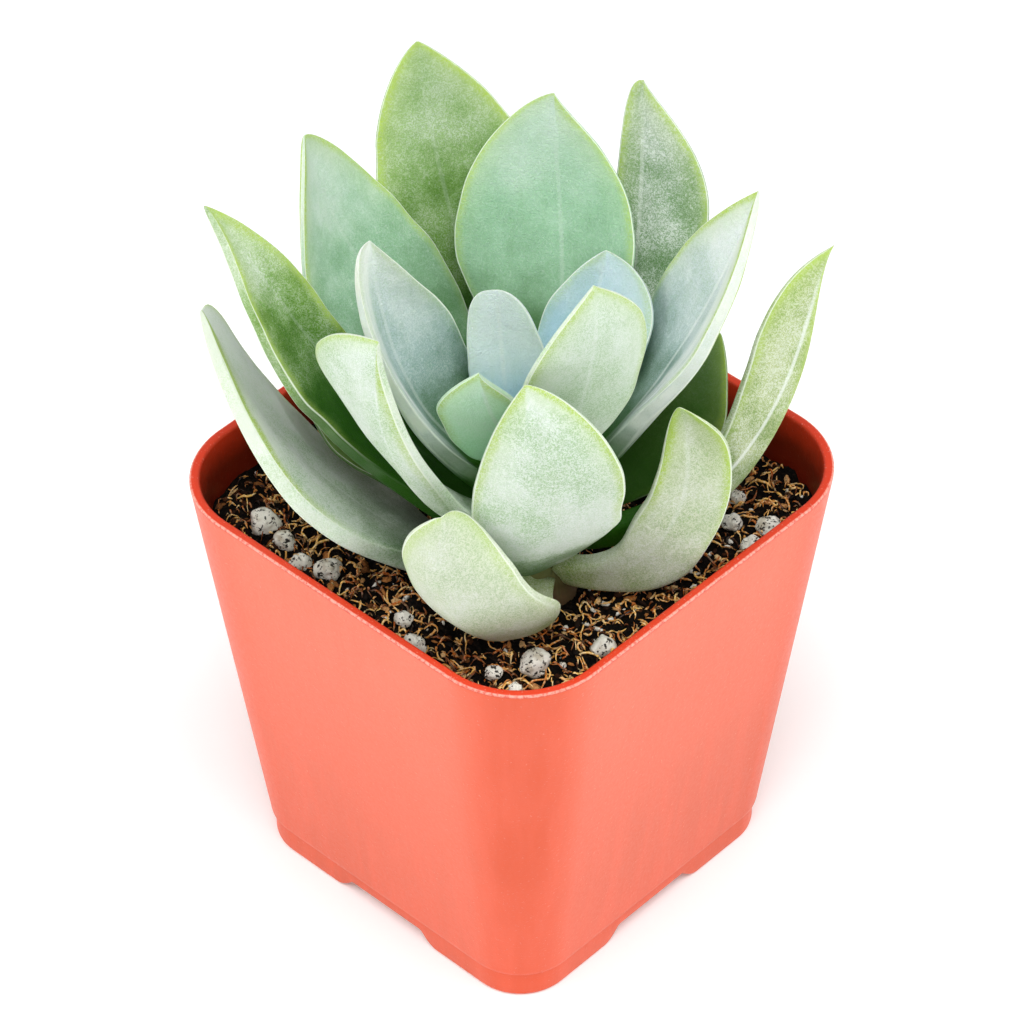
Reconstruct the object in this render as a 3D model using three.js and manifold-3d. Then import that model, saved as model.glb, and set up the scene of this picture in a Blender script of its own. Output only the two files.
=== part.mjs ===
// A young mountain fire senecio, a fleshy-leaved rosette on a short stem, in a small square plastic pot.
// Millimetres, +Z up. The origin is the centre of the pot's base, on the surface that it stands on.
import * as THREE from 'three';
import Module from 'manifold-3d';

const wasm = await Module();
wasm.setup();

// Driving dimensions of the pot
const POT_HEIGHT = 62;
const RIM_HALF = 31.75;
const RIM_CORNER = 12.4;
const FOOT_HALF = 24.2;
const FOOT_CORNER = 7.2;
const STEP_HEIGHT = 4.5;
const STEP_IN = 0.6;
const WALL = 1.3;
const FLOOR_TOP = 4.3;
const SKIRT_HEIGHT = 1.8;
const FOOT_GAP_TOP_HALF = 6.2;
const FOOT_GAP_BASE_HALF = 8.8;
const FOOT_RIDGE = 2.2;
const CORNER_STEPS = 6;

// Driving dimensions of the soil, the stem and the seats between pieces
const SEAT_GAP = 0.3;
const SOIL_LEVEL = 55.3;
const SOIL_RELIEF = 0.45;
const SOIL_DIP = 1.4;
const SOIL_RINGS = 8;
const SOIL_FOOT_HEIGHT = 30;
const CALM_FROM = 6;
const CALM_TO = 15;
const STEM_FOOT = new THREE.Vector3(10.5, -6.5, 55);
const STEM_TOP = new THREE.Vector3(6, -5.5, 77);
const STEM_FOOT_RADIUS = 4.6;
const STEM_TOP_RADIUS = 2.6;
const STEM_BURIED = 8;
const STEM_SIDES = 16;
const STEM_RING_HEIGHTS = [62, 69];
const STEM_DOME_HEIGHT = 1.2;
const STEM_DOME_TOP = { below: 0.3, share: 0.7 };

// Resolution of a leaf
const LEAF_STATIONS = 13;
const LEAF_SIDES = 12;
const LEAF_BASE_HALF_WIDTH = 2.3;
const MIDRIB_STEPS = 60;

// The form that all leaves share: how deep the base goes into the stem, how much thinner the tip is,
// the shares of the thickness above and below the margin, and how late cup, tip round and hook set in
const BASE_SUNK = 1;
const TIP_THINNING = 0.55;
const UPPER_SHARE = 0.8;
const LOWER_SHARE = 1.2;
const CUP_POWER = 1.6;
const TIP_ROUND_POWER = 10;
const HOOK_POWER = 8;
const STATION_CROWDING = 1.5;

// Each leaf: up is the height of its seat on the stem; turn, rise and roll are in degrees at its base
// and its tip (turn from +X towards +Y); long is the length of its midrib, thick its greatest thickness.
// left and right are the half blades, seen from above looking outwards: the greatest half width, how far
// along it is widest (0 to 1), how blunt the end is (1 pointed, 0.3 round) and how narrow the neck stays
// (higher is narrower). cup raises the margins, bend under 1 brings the upward curve nearer to the base,
// hook turns the last of the tip by so many degrees, and full is how square the margin is (2 is an oval).
const LEAVES = {
  leaf_back_left_tall: {
    up: 56.2, turn: [141, 174], rise: [11, 80], roll: [14, -25], long: 67.5, thick: 3,
    left: [9, 0.6, 0.8, 2], right: [13.4, 0.58, 0.85, 3.2],
    cup: -0.15, bend: 0.8, hook: -20, full: 3, shade: 'green',
  },
  leaf_back_centre: {
    up: 69.5, turn: [113, 151], rise: [11, 72], roll: [-9, -17], long: 48, thick: 3,
    left: [13, 0.62, 0.7, 2.6], right: [9.4, 0.62, 1.15, 2.4],
    cup: 0.15, bend: 1, hook: -15, full: 3, shade: 'mint',
  },
  leaf_left_back: {
    up: 66, turn: [157, 219], rise: [9, 86], roll: [-2, -9], long: 55, thick: 3,
    left: [11.2, 0.66, 1, 3], right: [9.8, 0.6, 0.75, 2.7],
    cup: 0.15, bend: 1.15, hook: 0, full: 3, shade: 'mint',
  },
  leaf_right_back: {
    up: 63.5, turn: [95, 141], rise: [21, 72], roll: [-5, -7], long: 55.5, thick: 3,
    left: [3.6, 0.52, 0.35, 2.1], right: [8.4, 0.7, 1.25, 1.1],
    cup: 0, bend: 1.1, hook: -10, full: 3, shade: 'mint',
  },
  leaf_right_folded: {
    up: 66.5, turn: [31, 85], rise: [49, 69], roll: [-7, -21], long: 51, thick: 3.2,
    left: [10.8, 0.56, 1, 2.6], right: [6.8, 0.62, 1.6, 5.3],
    cup: 0.2, bend: 0.95, hook: 0, full: 6, shade: 'blue',
  },
  leaf_far_right: {
    up: 62, turn: [36, 132], rise: [-9, 61], roll: [-67, -137], long: 53, thick: 3,
    left: [3.6, 0.42, 1.6, 2.5], right: [6.4, 0.72, 1.3, 6],
    cup: -0.1, bend: 0.6, hook: -70, full: 3, shade: 'pale',
  },
  leaf_right_front_low: {
    up: 58.5, turn: [14, 89], rise: [-20, 105], roll: [-73, -121], long: 36, thick: 3,
    left: [6, 0.38, 0.3, 2.7], right: [4, 0.48, 0.55, 6],
    cup: -0.1, bend: 0.55, hook: -55, full: 3, shade: 'pale',
  },
  leaf_front_left_low: {
    up: 57, turn: [307, 224], rise: [-7, 101], roll: [-17, 73], long: 40, thick: 3,
    left: [8.2, 0.4, 0.35, 2.4], right: [7.2, 0.42, 0.65, 2.3],
    cup: 0.5, bend: 0.85, hook: 45, full: 3, shade: 'pale',
  },
  leaf_front_centre: {
    up: 61.5, turn: [312, 307], rise: [12, 105], roll: [28, -16], long: 44.5, thick: 3,
    left: [11.4, 0.68, 0.7, 0.5], right: [6.4, 0.54, 0.9, 4.5],
    cup: 0.1, bend: 0.6, hook: 15, full: 3, shade: 'pale',
  },
  leaf_inner_right_front: {
    up: 71.5, turn: [-22, -1], rise: [51, 90], roll: [-25, -3], long: 42.5, thick: 2.8,
    left: [8.8, 0.7, 1.1, 1.8], right: [7.6, 0.68, 1, 2.5],
    cup: 0.1, bend: 1, hook: 0, full: 3, shade: 'pale',
  },
  leaf_inner_right_back: {
    up: 73, turn: [86, 97], rise: [34, 83], roll: [-14, 15], long: 26.5, thick: 2.8,
    left: [6, 0.5, 0.85, 0.9], right: [9, 0.64, 0.45, 1.4],
    cup: 0.25, bend: 0.9, hook: 0, full: 3, shade: 'blue',
  },
  leaf_inner_oval: {
    up: 76, turn: [176, 157], rise: [84, 84], roll: [-25, -32], long: 19.5, thick: 2.4,
    left: [4.2, 0.48, 0.25, 1.7], right: [5.2, 0.4, 0.45, 1.4],
    cup: 0.15, bend: 1, hook: 0, full: 3, shade: 'blue',
  },
  leaf_inner_front: {
    up: 75.5, turn: [300, 292], rise: [46, 69], roll: [45, 16], long: 27, thick: 2.4,
    left: [3.8, 0.52, 1.25, 0.6], right: [6, 0.74, 1.15, 0.6],
    cup: -0.1, bend: 0.85, hook: 0, full: 3, shade: 'mint',
  },
  leaf_inner_left: {
    up: 68.5, turn: [255, 145], rise: [44, 80], roll: [-9, 19], long: 41.5, thick: 3.2,
    left: [4.6, 0.5, 0.3, 0.5], right: [9, 0.46, 1, 2.8],
    cup: 0.45, bend: 0.9, hook: 0, full: 6, shade: 'blue',
  },
  leaf_left_front: {
    up: 64.8, turn: [275, 246], rise: [32, 94], roll: [-17, 25], long: 48, thick: 2.9,
    left: [3.6, 0.48, 1.55, 0.8], right: [13.8, 0.74, 0.9, 3.2],
    cup: 0.15, bend: 1, hook: 0, full: 3, shade: 'pale',
  },
  leaf_far_left_upper: {
    up: 61.9, turn: [208, 204], rise: [30, 63], roll: [0, -11], long: 57, thick: 3.2,
    left: [8.8, 0.54, 1.6, 0.5], right: [4.8, 0.68, 1, 2.6],
    cup: 0.2, bend: 0.7, hook: 30, full: 6, shade: 'green',
  },
  leaf_far_left_lower: {
    up: 56.3, turn: [232, 170], rise: [15, 52], roll: [5, 50], long: 52, thick: 3.6,
    left: [8, 0.5, 1.6, 3], right: [15, 0.36, 0.25, 3.9],
    cup: -0.1, bend: 0.7, hook: 0, full: 8, shade: 'green',
  },
  leaf_low_left_back: {
    up: 58.4, turn: [187, 197], rise: [16, 39], roll: [1, -7], long: 35.5, thick: 2.7,
    left: [8.2, 0.66, 0.95, 1.8], right: [7.2, 0.6, 0.8, 1.8],
    cup: 0.35, bend: 1, hook: 0, full: 3, shade: 'green',
  },
  leaf_low_right_back: {
    up: 59.2, turn: [112, 45], rise: [4, 56], roll: [49, 46], long: 35, thick: 2.8,
    left: [6.8, 0.62, 0.85, 1.8], right: [9.8, 0.6, 0.8, 1.8],
    cup: 0.15, bend: 1, hook: 0, full: 3, shade: 'green',
  },
};

// The tiny leaves of the growing point, which sit on the top of the stem, fromAxis out from its axis
const BUD_LEAVES = [
  { up: 77.8, turn: [-15, -5], rise: [70, 82], roll: [0, 0], long: 6, thick: 1.6, fromAxis: 1,
    left: [1.5, 0.5, 0.6, 1], right: [1.5, 0.5, 0.6, 1], cup: 0.1, bend: 1, hook: 0, full: 2 },
  { up: 77.8, turn: [-80, -75], rise: [66, 80], roll: [0, 0], long: 5, thick: 1.6, fromAxis: 1,
    left: [1.4, 0.5, 0.6, 1], right: [1.4, 0.5, 0.6, 1], cup: 0.1, bend: 1, hook: 0, full: 2 },
];
const BUD_BASE_HALF_WIDTH = 1;

// Perlite grains on the soil: place, and mean diameter
const GRAINS = [
  [-20.5, -23, 4.2],
  [-16, -24, 3],
  [-11.8, -25.4, 2.8],
  [-8.6, -23.6, 3.4],
  [4, -23.5, 2.4],
  [8, -25.5, 2.8],
  [18.5, -23, 2.2],
  [21.5, -18.5, 4],
  [25, -10.5, 3.2],
  [22.3, -23.4, 2],
  [25.5, 19, 3.4],
  [22, 16.2, 2.6],
  [26.3, 15, 2.8],
  [19.3, 20, 2.2],
];
const GRAIN_DETAIL = 1;
const GRAIN_ROUGHNESS = 0.14;
const GRAIN_SINK = 0.3;
const GRAIN_STRETCH = new THREE.Vector3(1.15, 0.95, 0.8);

const SHADES = { green: 0x8fae7c, mint: 0x9fc3a4, blue: 0xa9c6c2, pale: 0xc3d3ba };

const radians = THREE.MathUtils.degToRad;
const lerp = THREE.MathUtils.lerp;

// A repeatable random number from 0 to 1 for each call, from a whole-number seed
function seededRandom(seed) {
  let state = seed;
  return () => {
    state = (state * 1664525 + 1013904223) % 4294967296;
    return state / 4294967296;
  };
}

// A solid between closed rings of points, each end closed by a fan to a point. Every ring has the same
// count and runs anticlockwise about the way from the first ring to the next.
function loft(rings, startPoint, endPoint) {
  const count = rings[0].length;
  const positions = [startPoint, ...rings.flat(), endPoint].flatMap((point) => point.toArray());
  const triangles = [];
  const last = 1 + (rings.length - 1) * count;
  const end = 1 + rings.length * count;
  for (let j = 0; j < count; j += 1) {
    const k = (j + 1) % count;
    triangles.push(0, 1 + k, 1 + j);
    for (let i = 0; i < rings.length - 1; i += 1) {
      const near = 1 + i * count;
      const far = near + count;
      triangles.push(near + j, near + k, far + k, near + j, far + k, far + j);
    }
    triangles.push(last + j, last + k, end);
  }
  return new wasm.Manifold(new wasm.Mesh({
    numProp: 3,
    vertProperties: new Float32Array(positions),
    triVerts: new Uint32Array(triangles),
  }));
}

// A ring of points on a square with rounded corners, anticlockwise seen from above
function roundedSquare(half, corner, z) {
  const points = [];
  for (let quarter = 0; quarter < 4; quarter += 1) {
    for (let step = 0; step <= CORNER_STEPS; step += 1) {
      const angle = (quarter + step / CORNER_STEPS) * Math.PI / 2;
      const middle = (quarter + 0.5) * Math.PI / 2;
      const inset = (half - corner) * Math.SQRT2;
      points.push(new THREE.Vector3(
        inset * Math.cos(middle) + corner * Math.cos(angle),
        inset * Math.sin(middle) + corner * Math.sin(angle),
        z,
      ));
    }
  }
  return points;
}

// The pot's outer wall at a height: half its side, and the radius of its corners
function wallAt(z) {
  const k = (z - STEP_HEIGHT) / (POT_HEIGHT - STEP_HEIGHT);
  return {
    half: lerp(FOOT_HALF + STEP_IN, RIM_HALF, k),
    corner: lerp(FOOT_CORNER + STEP_IN, RIM_CORNER, k),
  };
}

// A ring inside the pot's outer wall by a distance
function wallRing(z, inside) {
  const wall = wallAt(z);
  return roundedSquare(wall.half - inside, wall.corner - inside, z);
}

// A bar across the pot's underside with slanted sides, which parts two feet from the other two
function footGap(turn) {
  const below = -1;
  const slope = (FOOT_GAP_BASE_HALF - FOOT_GAP_TOP_HALF) / SKIRT_HEIGHT;
  const halfAt = (z) => FOOT_GAP_TOP_HALF + slope * (SKIRT_HEIGHT - z);
  const reach = FOOT_HALF + 2;
  const corner = (x, z) => new THREE.Vector3(x, 0, z);
  const section = [
    corner(-halfAt(below), below),
    corner(halfAt(below), below),
    corner(halfAt(SKIRT_HEIGHT), SKIRT_HEIGHT),
    corner(-halfAt(SKIRT_HEIGHT), SKIRT_HEIGHT),
  ];
  const up = new THREE.Vector3(0, 0, 1);
  const placed = (y) => section.map((point) => point.clone().setY(y).applyAxisAngle(up, turn));
  const middle = (y) => new THREE.Vector3(0, y, 0).applyAxisAngle(up, turn);
  return loft([placed(reach), placed(-reach)], middle(reach), middle(-reach));
}

// The pot: walls, rim, step and floor in one body, with the underside hollowed to four corner feet
function makePot() {
  const bevel = 0.25;
  const body = loft([
    roundedSquare(FOOT_HALF, FOOT_CORNER, 0),
    roundedSquare(FOOT_HALF, FOOT_CORNER, STEP_HEIGHT - bevel),
    wallRing(STEP_HEIGHT, 0),
    wallRing(POT_HEIGHT - 2 * bevel, 0),
    wallRing(POT_HEIGHT, bevel),
    wallRing(POT_HEIGHT, WALL - bevel),
    wallRing(POT_HEIGHT - 2 * bevel, WALL),
    wallRing(FLOOR_TOP + WALL, WALL),
    wallRing(FLOOR_TOP, 2 * WALL),
  ], new THREE.Vector3(0, 0, 0), new THREE.Vector3(0, 0, FLOOR_TOP));
  const inner = FOOT_HALF - FOOT_RIDGE;
  const innerCorner = FOOT_CORNER - FOOT_RIDGE;
  const hollow = loft([
    roundedSquare(inner, innerCorner, -1),
    roundedSquare(inner, innerCorner, SKIRT_HEIGHT),
  ], new THREE.Vector3(0, 0, -1), new THREE.Vector3(0, 0, SKIRT_HEIGHT));
  return body.subtract(hollow).subtract(footGap(0)).subtract(footGap(Math.PI / 2));
}

// The centre and radius of the stem at a height
function stemAt(z) {
  const k = (z - STEM_FOOT.z) / (STEM_TOP.z - STEM_FOOT.z);
  return {
    centre: new THREE.Vector3().lerpVectors(STEM_FOOT, STEM_TOP, k),
    radius: lerp(STEM_FOOT_RADIUS, STEM_TOP_RADIUS, k),
  };
}

// The stem, thicker all round by grown: it narrows upwards and ends in a low dome
function makeStem(grown) {
  const ring = (z, scale) => {
    const { centre, radius } = stemAt(z);
    return Array.from({ length: STEM_SIDES }, (_, i) => {
      const angle = 2 * Math.PI * i / STEM_SIDES;
      const reach = radius * scale + grown;
      return new THREE.Vector3(centre.x + reach * Math.cos(angle), centre.y + reach * Math.sin(angle), z);
    });
  };
  const bottom = STEM_FOOT.z - STEM_BURIED;
  const domeFoot = STEM_TOP.z - STEM_DOME_HEIGHT;
  const heights = [bottom - grown, bottom + STEM_BURIED / 2, STEM_FOOT.z, ...STEM_RING_HEIGHTS, domeFoot];
  const rings = heights.map((z) => ring(z, 1));
  rings.push(ring(STEM_TOP.z - STEM_DOME_TOP.below + grown, STEM_DOME_TOP.share));
  const top = stemAt(STEM_TOP.z).centre.setZ(STEM_TOP.z + grown);
  return loft(rings, stemAt(bottom).centre.setZ(bottom - grown), top);
}

// The height of the soil's surface: low waves that die away in a shallow dip around the stem
function soilHeight(x, y) {
  const swell = Math.sin(0.9 * x + 0.5 * y) * Math.cos(0.7 * y - 0.4 * x);
  const ripple = 0.5 * Math.sin(1.9 * x - 1.3 * y);
  const away = Math.hypot(x - STEM_FOOT.x, y - STEM_FOOT.y);
  const calm = THREE.MathUtils.smoothstep(away, CALM_FROM, CALM_TO);
  return SOIL_LEVEL + SOIL_RELIEF * (swell + ripple) * calm - SOIL_DIP * (1 - calm);
}

// The soil, filling the pot to its surface, with the stem's hole and a seat for each grain
function makeSoil(grains) {
  const bottom = FLOOR_TOP + SEAT_GAP;
  const inset = WALL + SEAT_GAP;
  const rings = [
    wallRing(bottom, inset + WALL),
    wallRing(bottom + WALL, inset),
    wallRing(SOIL_FOOT_HEIGHT, inset),
  ];
  const edge = wallRing(SOIL_LEVEL, inset);
  for (let i = 0; i < SOIL_RINGS; i += 1) {
    const scale = 1 - i / SOIL_RINGS;
    rings.push(edge.map((point) => {
      const x = point.x * scale;
      const y = point.y * scale;
      return new THREE.Vector3(x, y, soilHeight(x, y));
    }));
  }
  const middle = new THREE.Vector3(0, 0, soilHeight(0, 0));
  const body = loft(rings, new THREE.Vector3(0, 0, bottom), middle);
  return grains.reduce((left, grain) => left.subtract(grain), body.subtract(makeStem(SEAT_GAP)));
}

// One perlite grain, thicker all round by grown: a lumpy, slightly flattened ball sunk a little in the soil
function makeGrain([x, y, diameter], seed, grown) {
  const random = seededRandom(seed);
  const geometry = new THREE.IcosahedronGeometry(1, GRAIN_DETAIL);
  const source = geometry.attributes.position;
  const turn = random() * Math.PI;
  const stretch = GRAIN_STRETCH.clone().multiplyScalar(diameter / 2);
  const corners = new Map();
  const positions = [];
  const triangles = [];
  for (let i = 0; i < source.count; i += 1) {
    const point = new THREE.Vector3().fromBufferAttribute(source, i);
    const key = point.toArray().map((value) => value.toFixed(4)).join(' ');
    if (!corners.has(key)) {
      corners.set(key, corners.size);
      const lump = 1 + GRAIN_ROUGHNESS * (2 * random() - 1);
      const length = point.clone().multiply(stretch).length();
      point.multiply(stretch).multiplyScalar(lump + grown / length);
      point.applyAxisAngle(new THREE.Vector3(0, 0, 1), turn);
      point.add(new THREE.Vector3(x, y, soilHeight(x, y) + GRAIN_SINK * diameter / 2));
      positions.push(...point.toArray());
    }
    triangles.push(corners.get(key));
  }
  return new wasm.Manifold(new wasm.Mesh({
    numProp: 3,
    vertProperties: new Float32Array(positions),
    triVerts: new Uint32Array(triangles),
  }));
}

// Half the blade's width on one side at a station from 0 to 1: it widens in a quarter sine to its widest
// place and closes in an arc to the tip
function halfWidth([widest, place, blunt, neck], baseHalfWidth, s) {
  if (s < place) {
    return baseHalfWidth + (widest - baseHalfWidth) * Math.sin(Math.PI / 2 * s / place) ** neck;
  }
  return widest * (1 - ((s - place) / (1 - place)) ** 2) ** blunt;
}

// The direction of the midrib and of the blade's left and upper sides at a station
function leafAxes(leaf, s) {
  const turn = radians(lerp(...leaf.turn, s) + leaf.hook * s ** HOOK_POWER);
  const rise = radians(lerp(...leaf.rise, s ** leaf.bend));
  const roll = radians(lerp(...leaf.roll, s));
  const along = new THREE.Vector3(
    Math.cos(rise) * Math.cos(turn),
    Math.cos(rise) * Math.sin(turn),
    Math.sin(rise),
  );
  const left = new THREE.Vector3(-Math.sin(turn), Math.cos(turn), 0).applyAxisAngle(along, roll);
  return { along, left, upper: along.clone().cross(left) };
}

// The midrib, followed in short steps from just inside the stem's surface
function leafMidrib(leaf) {
  const { centre, radius } = stemAt(leaf.up);
  const turn = radians(leaf.turn[0]);
  const reach = leaf.fromAxis ?? radius - BASE_SUNK;
  const place = centre.add(new THREE.Vector3(Math.cos(turn), Math.sin(turn), 0).multiplyScalar(reach));
  const points = [place.clone()];
  for (let i = 0; i < MIDRIB_STEPS; i += 1) {
    const { along } = leafAxes(leaf, (i + 0.5) / MIDRIB_STEPS);
    place.addScaledVector(along, leaf.long / MIDRIB_STEPS);
    points.push(place.clone());
  }
  return (s) => {
    const at = Math.min(s * MIDRIB_STEPS, MIDRIB_STEPS - 1e-6);
    const whole = Math.floor(at);
    return points[whole].clone().lerp(points[whole + 1], at - whole);
  };
}

// One fleshy leaf: a section with a flatter upper face and a fuller lower face, swept along the midrib.
// The section is a rounded oblong: a circle whose points are pushed out towards the corners of a square.
function makeLeaf(leaf, baseHalfWidth) {
  const midrib = leafMidrib(leaf);
  const rings = [];
  for (let i = 0; i < LEAF_STATIONS; i += 1) {
    const s = 1 - (1 - i / LEAF_STATIONS) ** STATION_CROWDING;
    const { left, upper } = leafAxes(leaf, s);
    const half = leaf.thick / 2 * (1 - TIP_THINNING * s) * Math.sqrt(1 - s ** TIP_ROUND_POWER);
    rings.push(Array.from({ length: LEAF_SIDES }, (_, j) => {
      const angle = 2 * Math.PI * j / LEAF_SIDES;
      const cosine = Math.cos(angle);
      const sine = Math.sin(angle);
      const push = (Math.abs(cosine) ** leaf.full + Math.abs(sine) ** leaf.full) ** (-1 / leaf.full);
      const across = push * cosine;
      const width = halfWidth(across >= 0 ? leaf.left : leaf.right, baseHalfWidth, s);
      const depth = half * (sine > 0 ? UPPER_SHARE : LOWER_SHARE) * push * sine;
      const lift = leaf.cup * Math.abs(across) ** CUP_POWER * width;
      return midrib(s).addScaledVector(left, across * width).addScaledVector(upper, lift + depth);
    }));
  }
  return loft(rings, midrib(0), midrib(1));
}

// A named mesh with its own material
function makeMesh(name, solid, color, roughness) {
  const { vertProperties, triVerts } = solid.getMesh();
  const geometry = new THREE.BufferGeometry();
  geometry.setAttribute('position', new THREE.Float32BufferAttribute(vertProperties, 3));
  geometry.setIndex(new THREE.Uint32BufferAttribute(triVerts, 1));
  geometry.computeVertexNormals();
  const mesh = new THREE.Mesh(geometry, new THREE.MeshStandardMaterial({ color, roughness, metalness: 0 }));
  mesh.name = name;
  return mesh;
}

const group = new THREE.Group();

group.add(makeMesh('pot', makePot(), 0xf58a74, 0.45));

const seats = GRAINS.map((grain, i) => makeGrain(grain, i + 1, SEAT_GAP));
group.add(makeMesh('potting_soil', makeSoil(seats), 0x35261c, 0.95));
GRAINS.forEach((grain, i) => {
  const name = `perlite_${String(i + 1).padStart(2, '0')}`;
  group.add(makeMesh(name, makeGrain(grain, i + 1, 0), 0xe4e1d8, 0.9));
});

group.add(makeMesh('stem', makeStem(0), 0x8aa06e, 0.6));
const stemSeat = makeStem(SEAT_GAP);
for (const [name, leaf] of Object.entries(LEAVES)) {
  const blade = makeLeaf(leaf, LEAF_BASE_HALF_WIDTH).subtract(stemSeat);
  group.add(makeMesh(name, blade, SHADES[leaf.shade], 0.6));
}
const bud = BUD_LEAVES.map((leaf) => makeLeaf(leaf, BUD_BASE_HALF_WIDTH))
  .reduce((joined, leaf) => joined.add(leaf))
  .subtract(stemSeat);
group.add(makeMesh('bud', bud, SHADES.green, 0.6));

export default group;
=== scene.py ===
# %% [markdown]
# # A young mountain fire senecio in a square plastic pot
#
# The plant is a rosette of fleshy, mealy leaves on a short stem. It stands in a small coral-coloured
# nursery pot with rounded corners, in a dark potting mix of peat, coir fibre and perlite.
#
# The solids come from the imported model, and this script gives them their looks. Lengths are written in
# millimetres, and turned into Blender's metres where a mesh, a light or a pattern is made.

# %% Load the frame
import bpy
import numpy as np
from mathutils import Matrix


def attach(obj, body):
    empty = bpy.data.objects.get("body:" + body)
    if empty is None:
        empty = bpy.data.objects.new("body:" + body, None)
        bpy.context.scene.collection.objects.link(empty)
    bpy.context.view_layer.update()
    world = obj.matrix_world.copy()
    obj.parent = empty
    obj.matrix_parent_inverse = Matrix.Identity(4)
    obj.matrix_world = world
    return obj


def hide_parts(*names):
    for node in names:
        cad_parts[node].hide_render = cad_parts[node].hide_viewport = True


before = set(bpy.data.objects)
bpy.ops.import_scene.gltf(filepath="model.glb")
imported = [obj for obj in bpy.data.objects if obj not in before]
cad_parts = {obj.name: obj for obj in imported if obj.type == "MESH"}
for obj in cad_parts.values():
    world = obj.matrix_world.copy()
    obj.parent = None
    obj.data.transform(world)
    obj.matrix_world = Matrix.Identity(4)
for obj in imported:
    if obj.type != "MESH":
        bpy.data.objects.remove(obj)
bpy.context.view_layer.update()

MM = 0.001

# %% [markdown]
# ## Camera
#
# The photograph is taken from above the pot's near corner, from about two thirds of a metre, with a long
# lens, so the pot's walls hardly converge. A constraint could aim the camera, but a plain place and three
# angles, fitted to the pot's corners in the photograph, are exact.

# %% Place the camera
CAMERA_AZIMUTH = np.radians(43.44)
CAMERA_ELEVATION = np.radians(42.84)
CAMERA_ROLL = np.radians(-0.41)
CAMERA_PLACE = np.array([312.75, -330.31, 476.56])
SENSOR_WIDTH = 36.0
FOCAL_LENGTH = 175.78


def camera_turn(azimuth, elevation, roll):
    """The camera's right, up and backward directions as the columns of a matrix: backwards points from
    the object to the camera, right is level, and right and up then turn about it by the roll."""
    back = np.array([np.sin(azimuth) * np.cos(elevation), -np.cos(azimuth) * np.cos(elevation),
                     np.sin(elevation)])
    level = np.array([np.cos(azimuth), np.sin(azimuth), 0.0])
    upright = np.cross(back, level)
    right = np.cos(roll) * level + np.sin(roll) * upright
    up = np.cos(roll) * upright - np.sin(roll) * level
    return np.stack([right, up, back], 1)


def stand(name, data, turn, place):
    """Puts a camera or a light in the scene, turned, at a place in millimetres."""
    stood = bpy.data.objects.new(name, data)
    matrix = np.eye(4)
    matrix[:3, :3], matrix[:3, 3] = turn, place * MM
    stood.matrix_world = Matrix(matrix.tolist())
    bpy.context.scene.collection.objects.link(stood)
    return stood


lens = bpy.data.cameras.new("product_camera")
lens.sensor_width = SENSOR_WIDTH
lens.lens = FOCAL_LENGTH
bpy.context.scene.camera = stand("product_camera", lens, camera_turn(
    CAMERA_AZIMUTH, CAMERA_ELEVATION, CAMERA_ROLL), CAMERA_PLACE)
print("camera at", np.round(CAMERA_PLACE * MM, 4))

# %% [markdown]
# ## Light and floor
#
# The photograph is a product shot on white: even, bright and almost without shadows. Two large soft boxes
# stand far to the sides, so that the two flat walls of the pot are brighter than its near corner. A third
# hangs over the plant, a small one by the camera reaches into the rosette, and a white world fills in.
# The plain view transform keeps the colours as clean as in the photograph, where a film-like one would
# grey them.

# %% Set the light
WORLD_STRENGTH = 0.41
SOFT_BOXES = {
    "left_box": dict(azimuth=-88, elevation=28, distance=700, size=520, watts=2.0),
    "right_box": dict(azimuth=88, elevation=28, distance=700, size=520, watts=1.95),
    "top_box": dict(azimuth=4, elevation=72, distance=760, size=450, watts=3.2),
    "front_box": dict(azimuth=-6, elevation=47, distance=780, size=300, watts=1.25),
}
AIM = np.array([0.0, 0.0, 55.0])


def soft_box(name, azimuth, elevation, distance, size, watts):
    """A square area light, aimed at the plant from an angle off the camera's azimuth."""
    light = bpy.data.lights.new(name, "AREA")
    light.shape = "SQUARE"
    light.size = size * MM
    light.energy = watts
    turn = camera_turn(CAMERA_AZIMUTH + np.radians(azimuth), np.radians(elevation), 0.0)
    stand(name, light, turn, AIM + distance * turn[:, 2])


for box_name, settings in SOFT_BOXES.items():
    soft_box(box_name, **settings)

world = bpy.data.worlds.new("white_studio")
world.use_nodes = True
sky = world.node_tree.nodes["Background"].inputs
sky["Color"].default_value = (1, 1, 1, 1)
sky["Strength"].default_value = WORLD_STRENGTH
bpy.context.scene.world = world
bpy.context.scene.view_settings.view_transform = "Standard"
print("soft boxes", list(SOFT_BOXES))

# %% [markdown]
# ## Meshes from arrays
#
# Almost everything here is a closed tube of rings: a leaf, the pot's wall, a fibre. It could be drawn by
# hand or made with modifiers, but worked out as arrays it stays exact and quick. One helper says which
# corners make the faces of such a tube, and another puts corners, faces and any measured values on the
# surface into a mesh, which then rides on the model's only body.

# %% Helpers that make meshes
def full_turn(count, start=0):
    """Evenly spaced angles around a full turn, from a share of one space onwards."""
    return 2 * np.pi * (np.arange(count) + start) / count


def pointing(angle):
    """The flat direction of an angle."""
    return np.stack([np.cos(angle), np.sin(angle)], -1)


def turn_by(angle, a, b):
    """Two coordinates after a turn by an angle."""
    return a * np.cos(angle) - b * np.sin(angle), a * np.sin(angle) + b * np.cos(angle)


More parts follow.
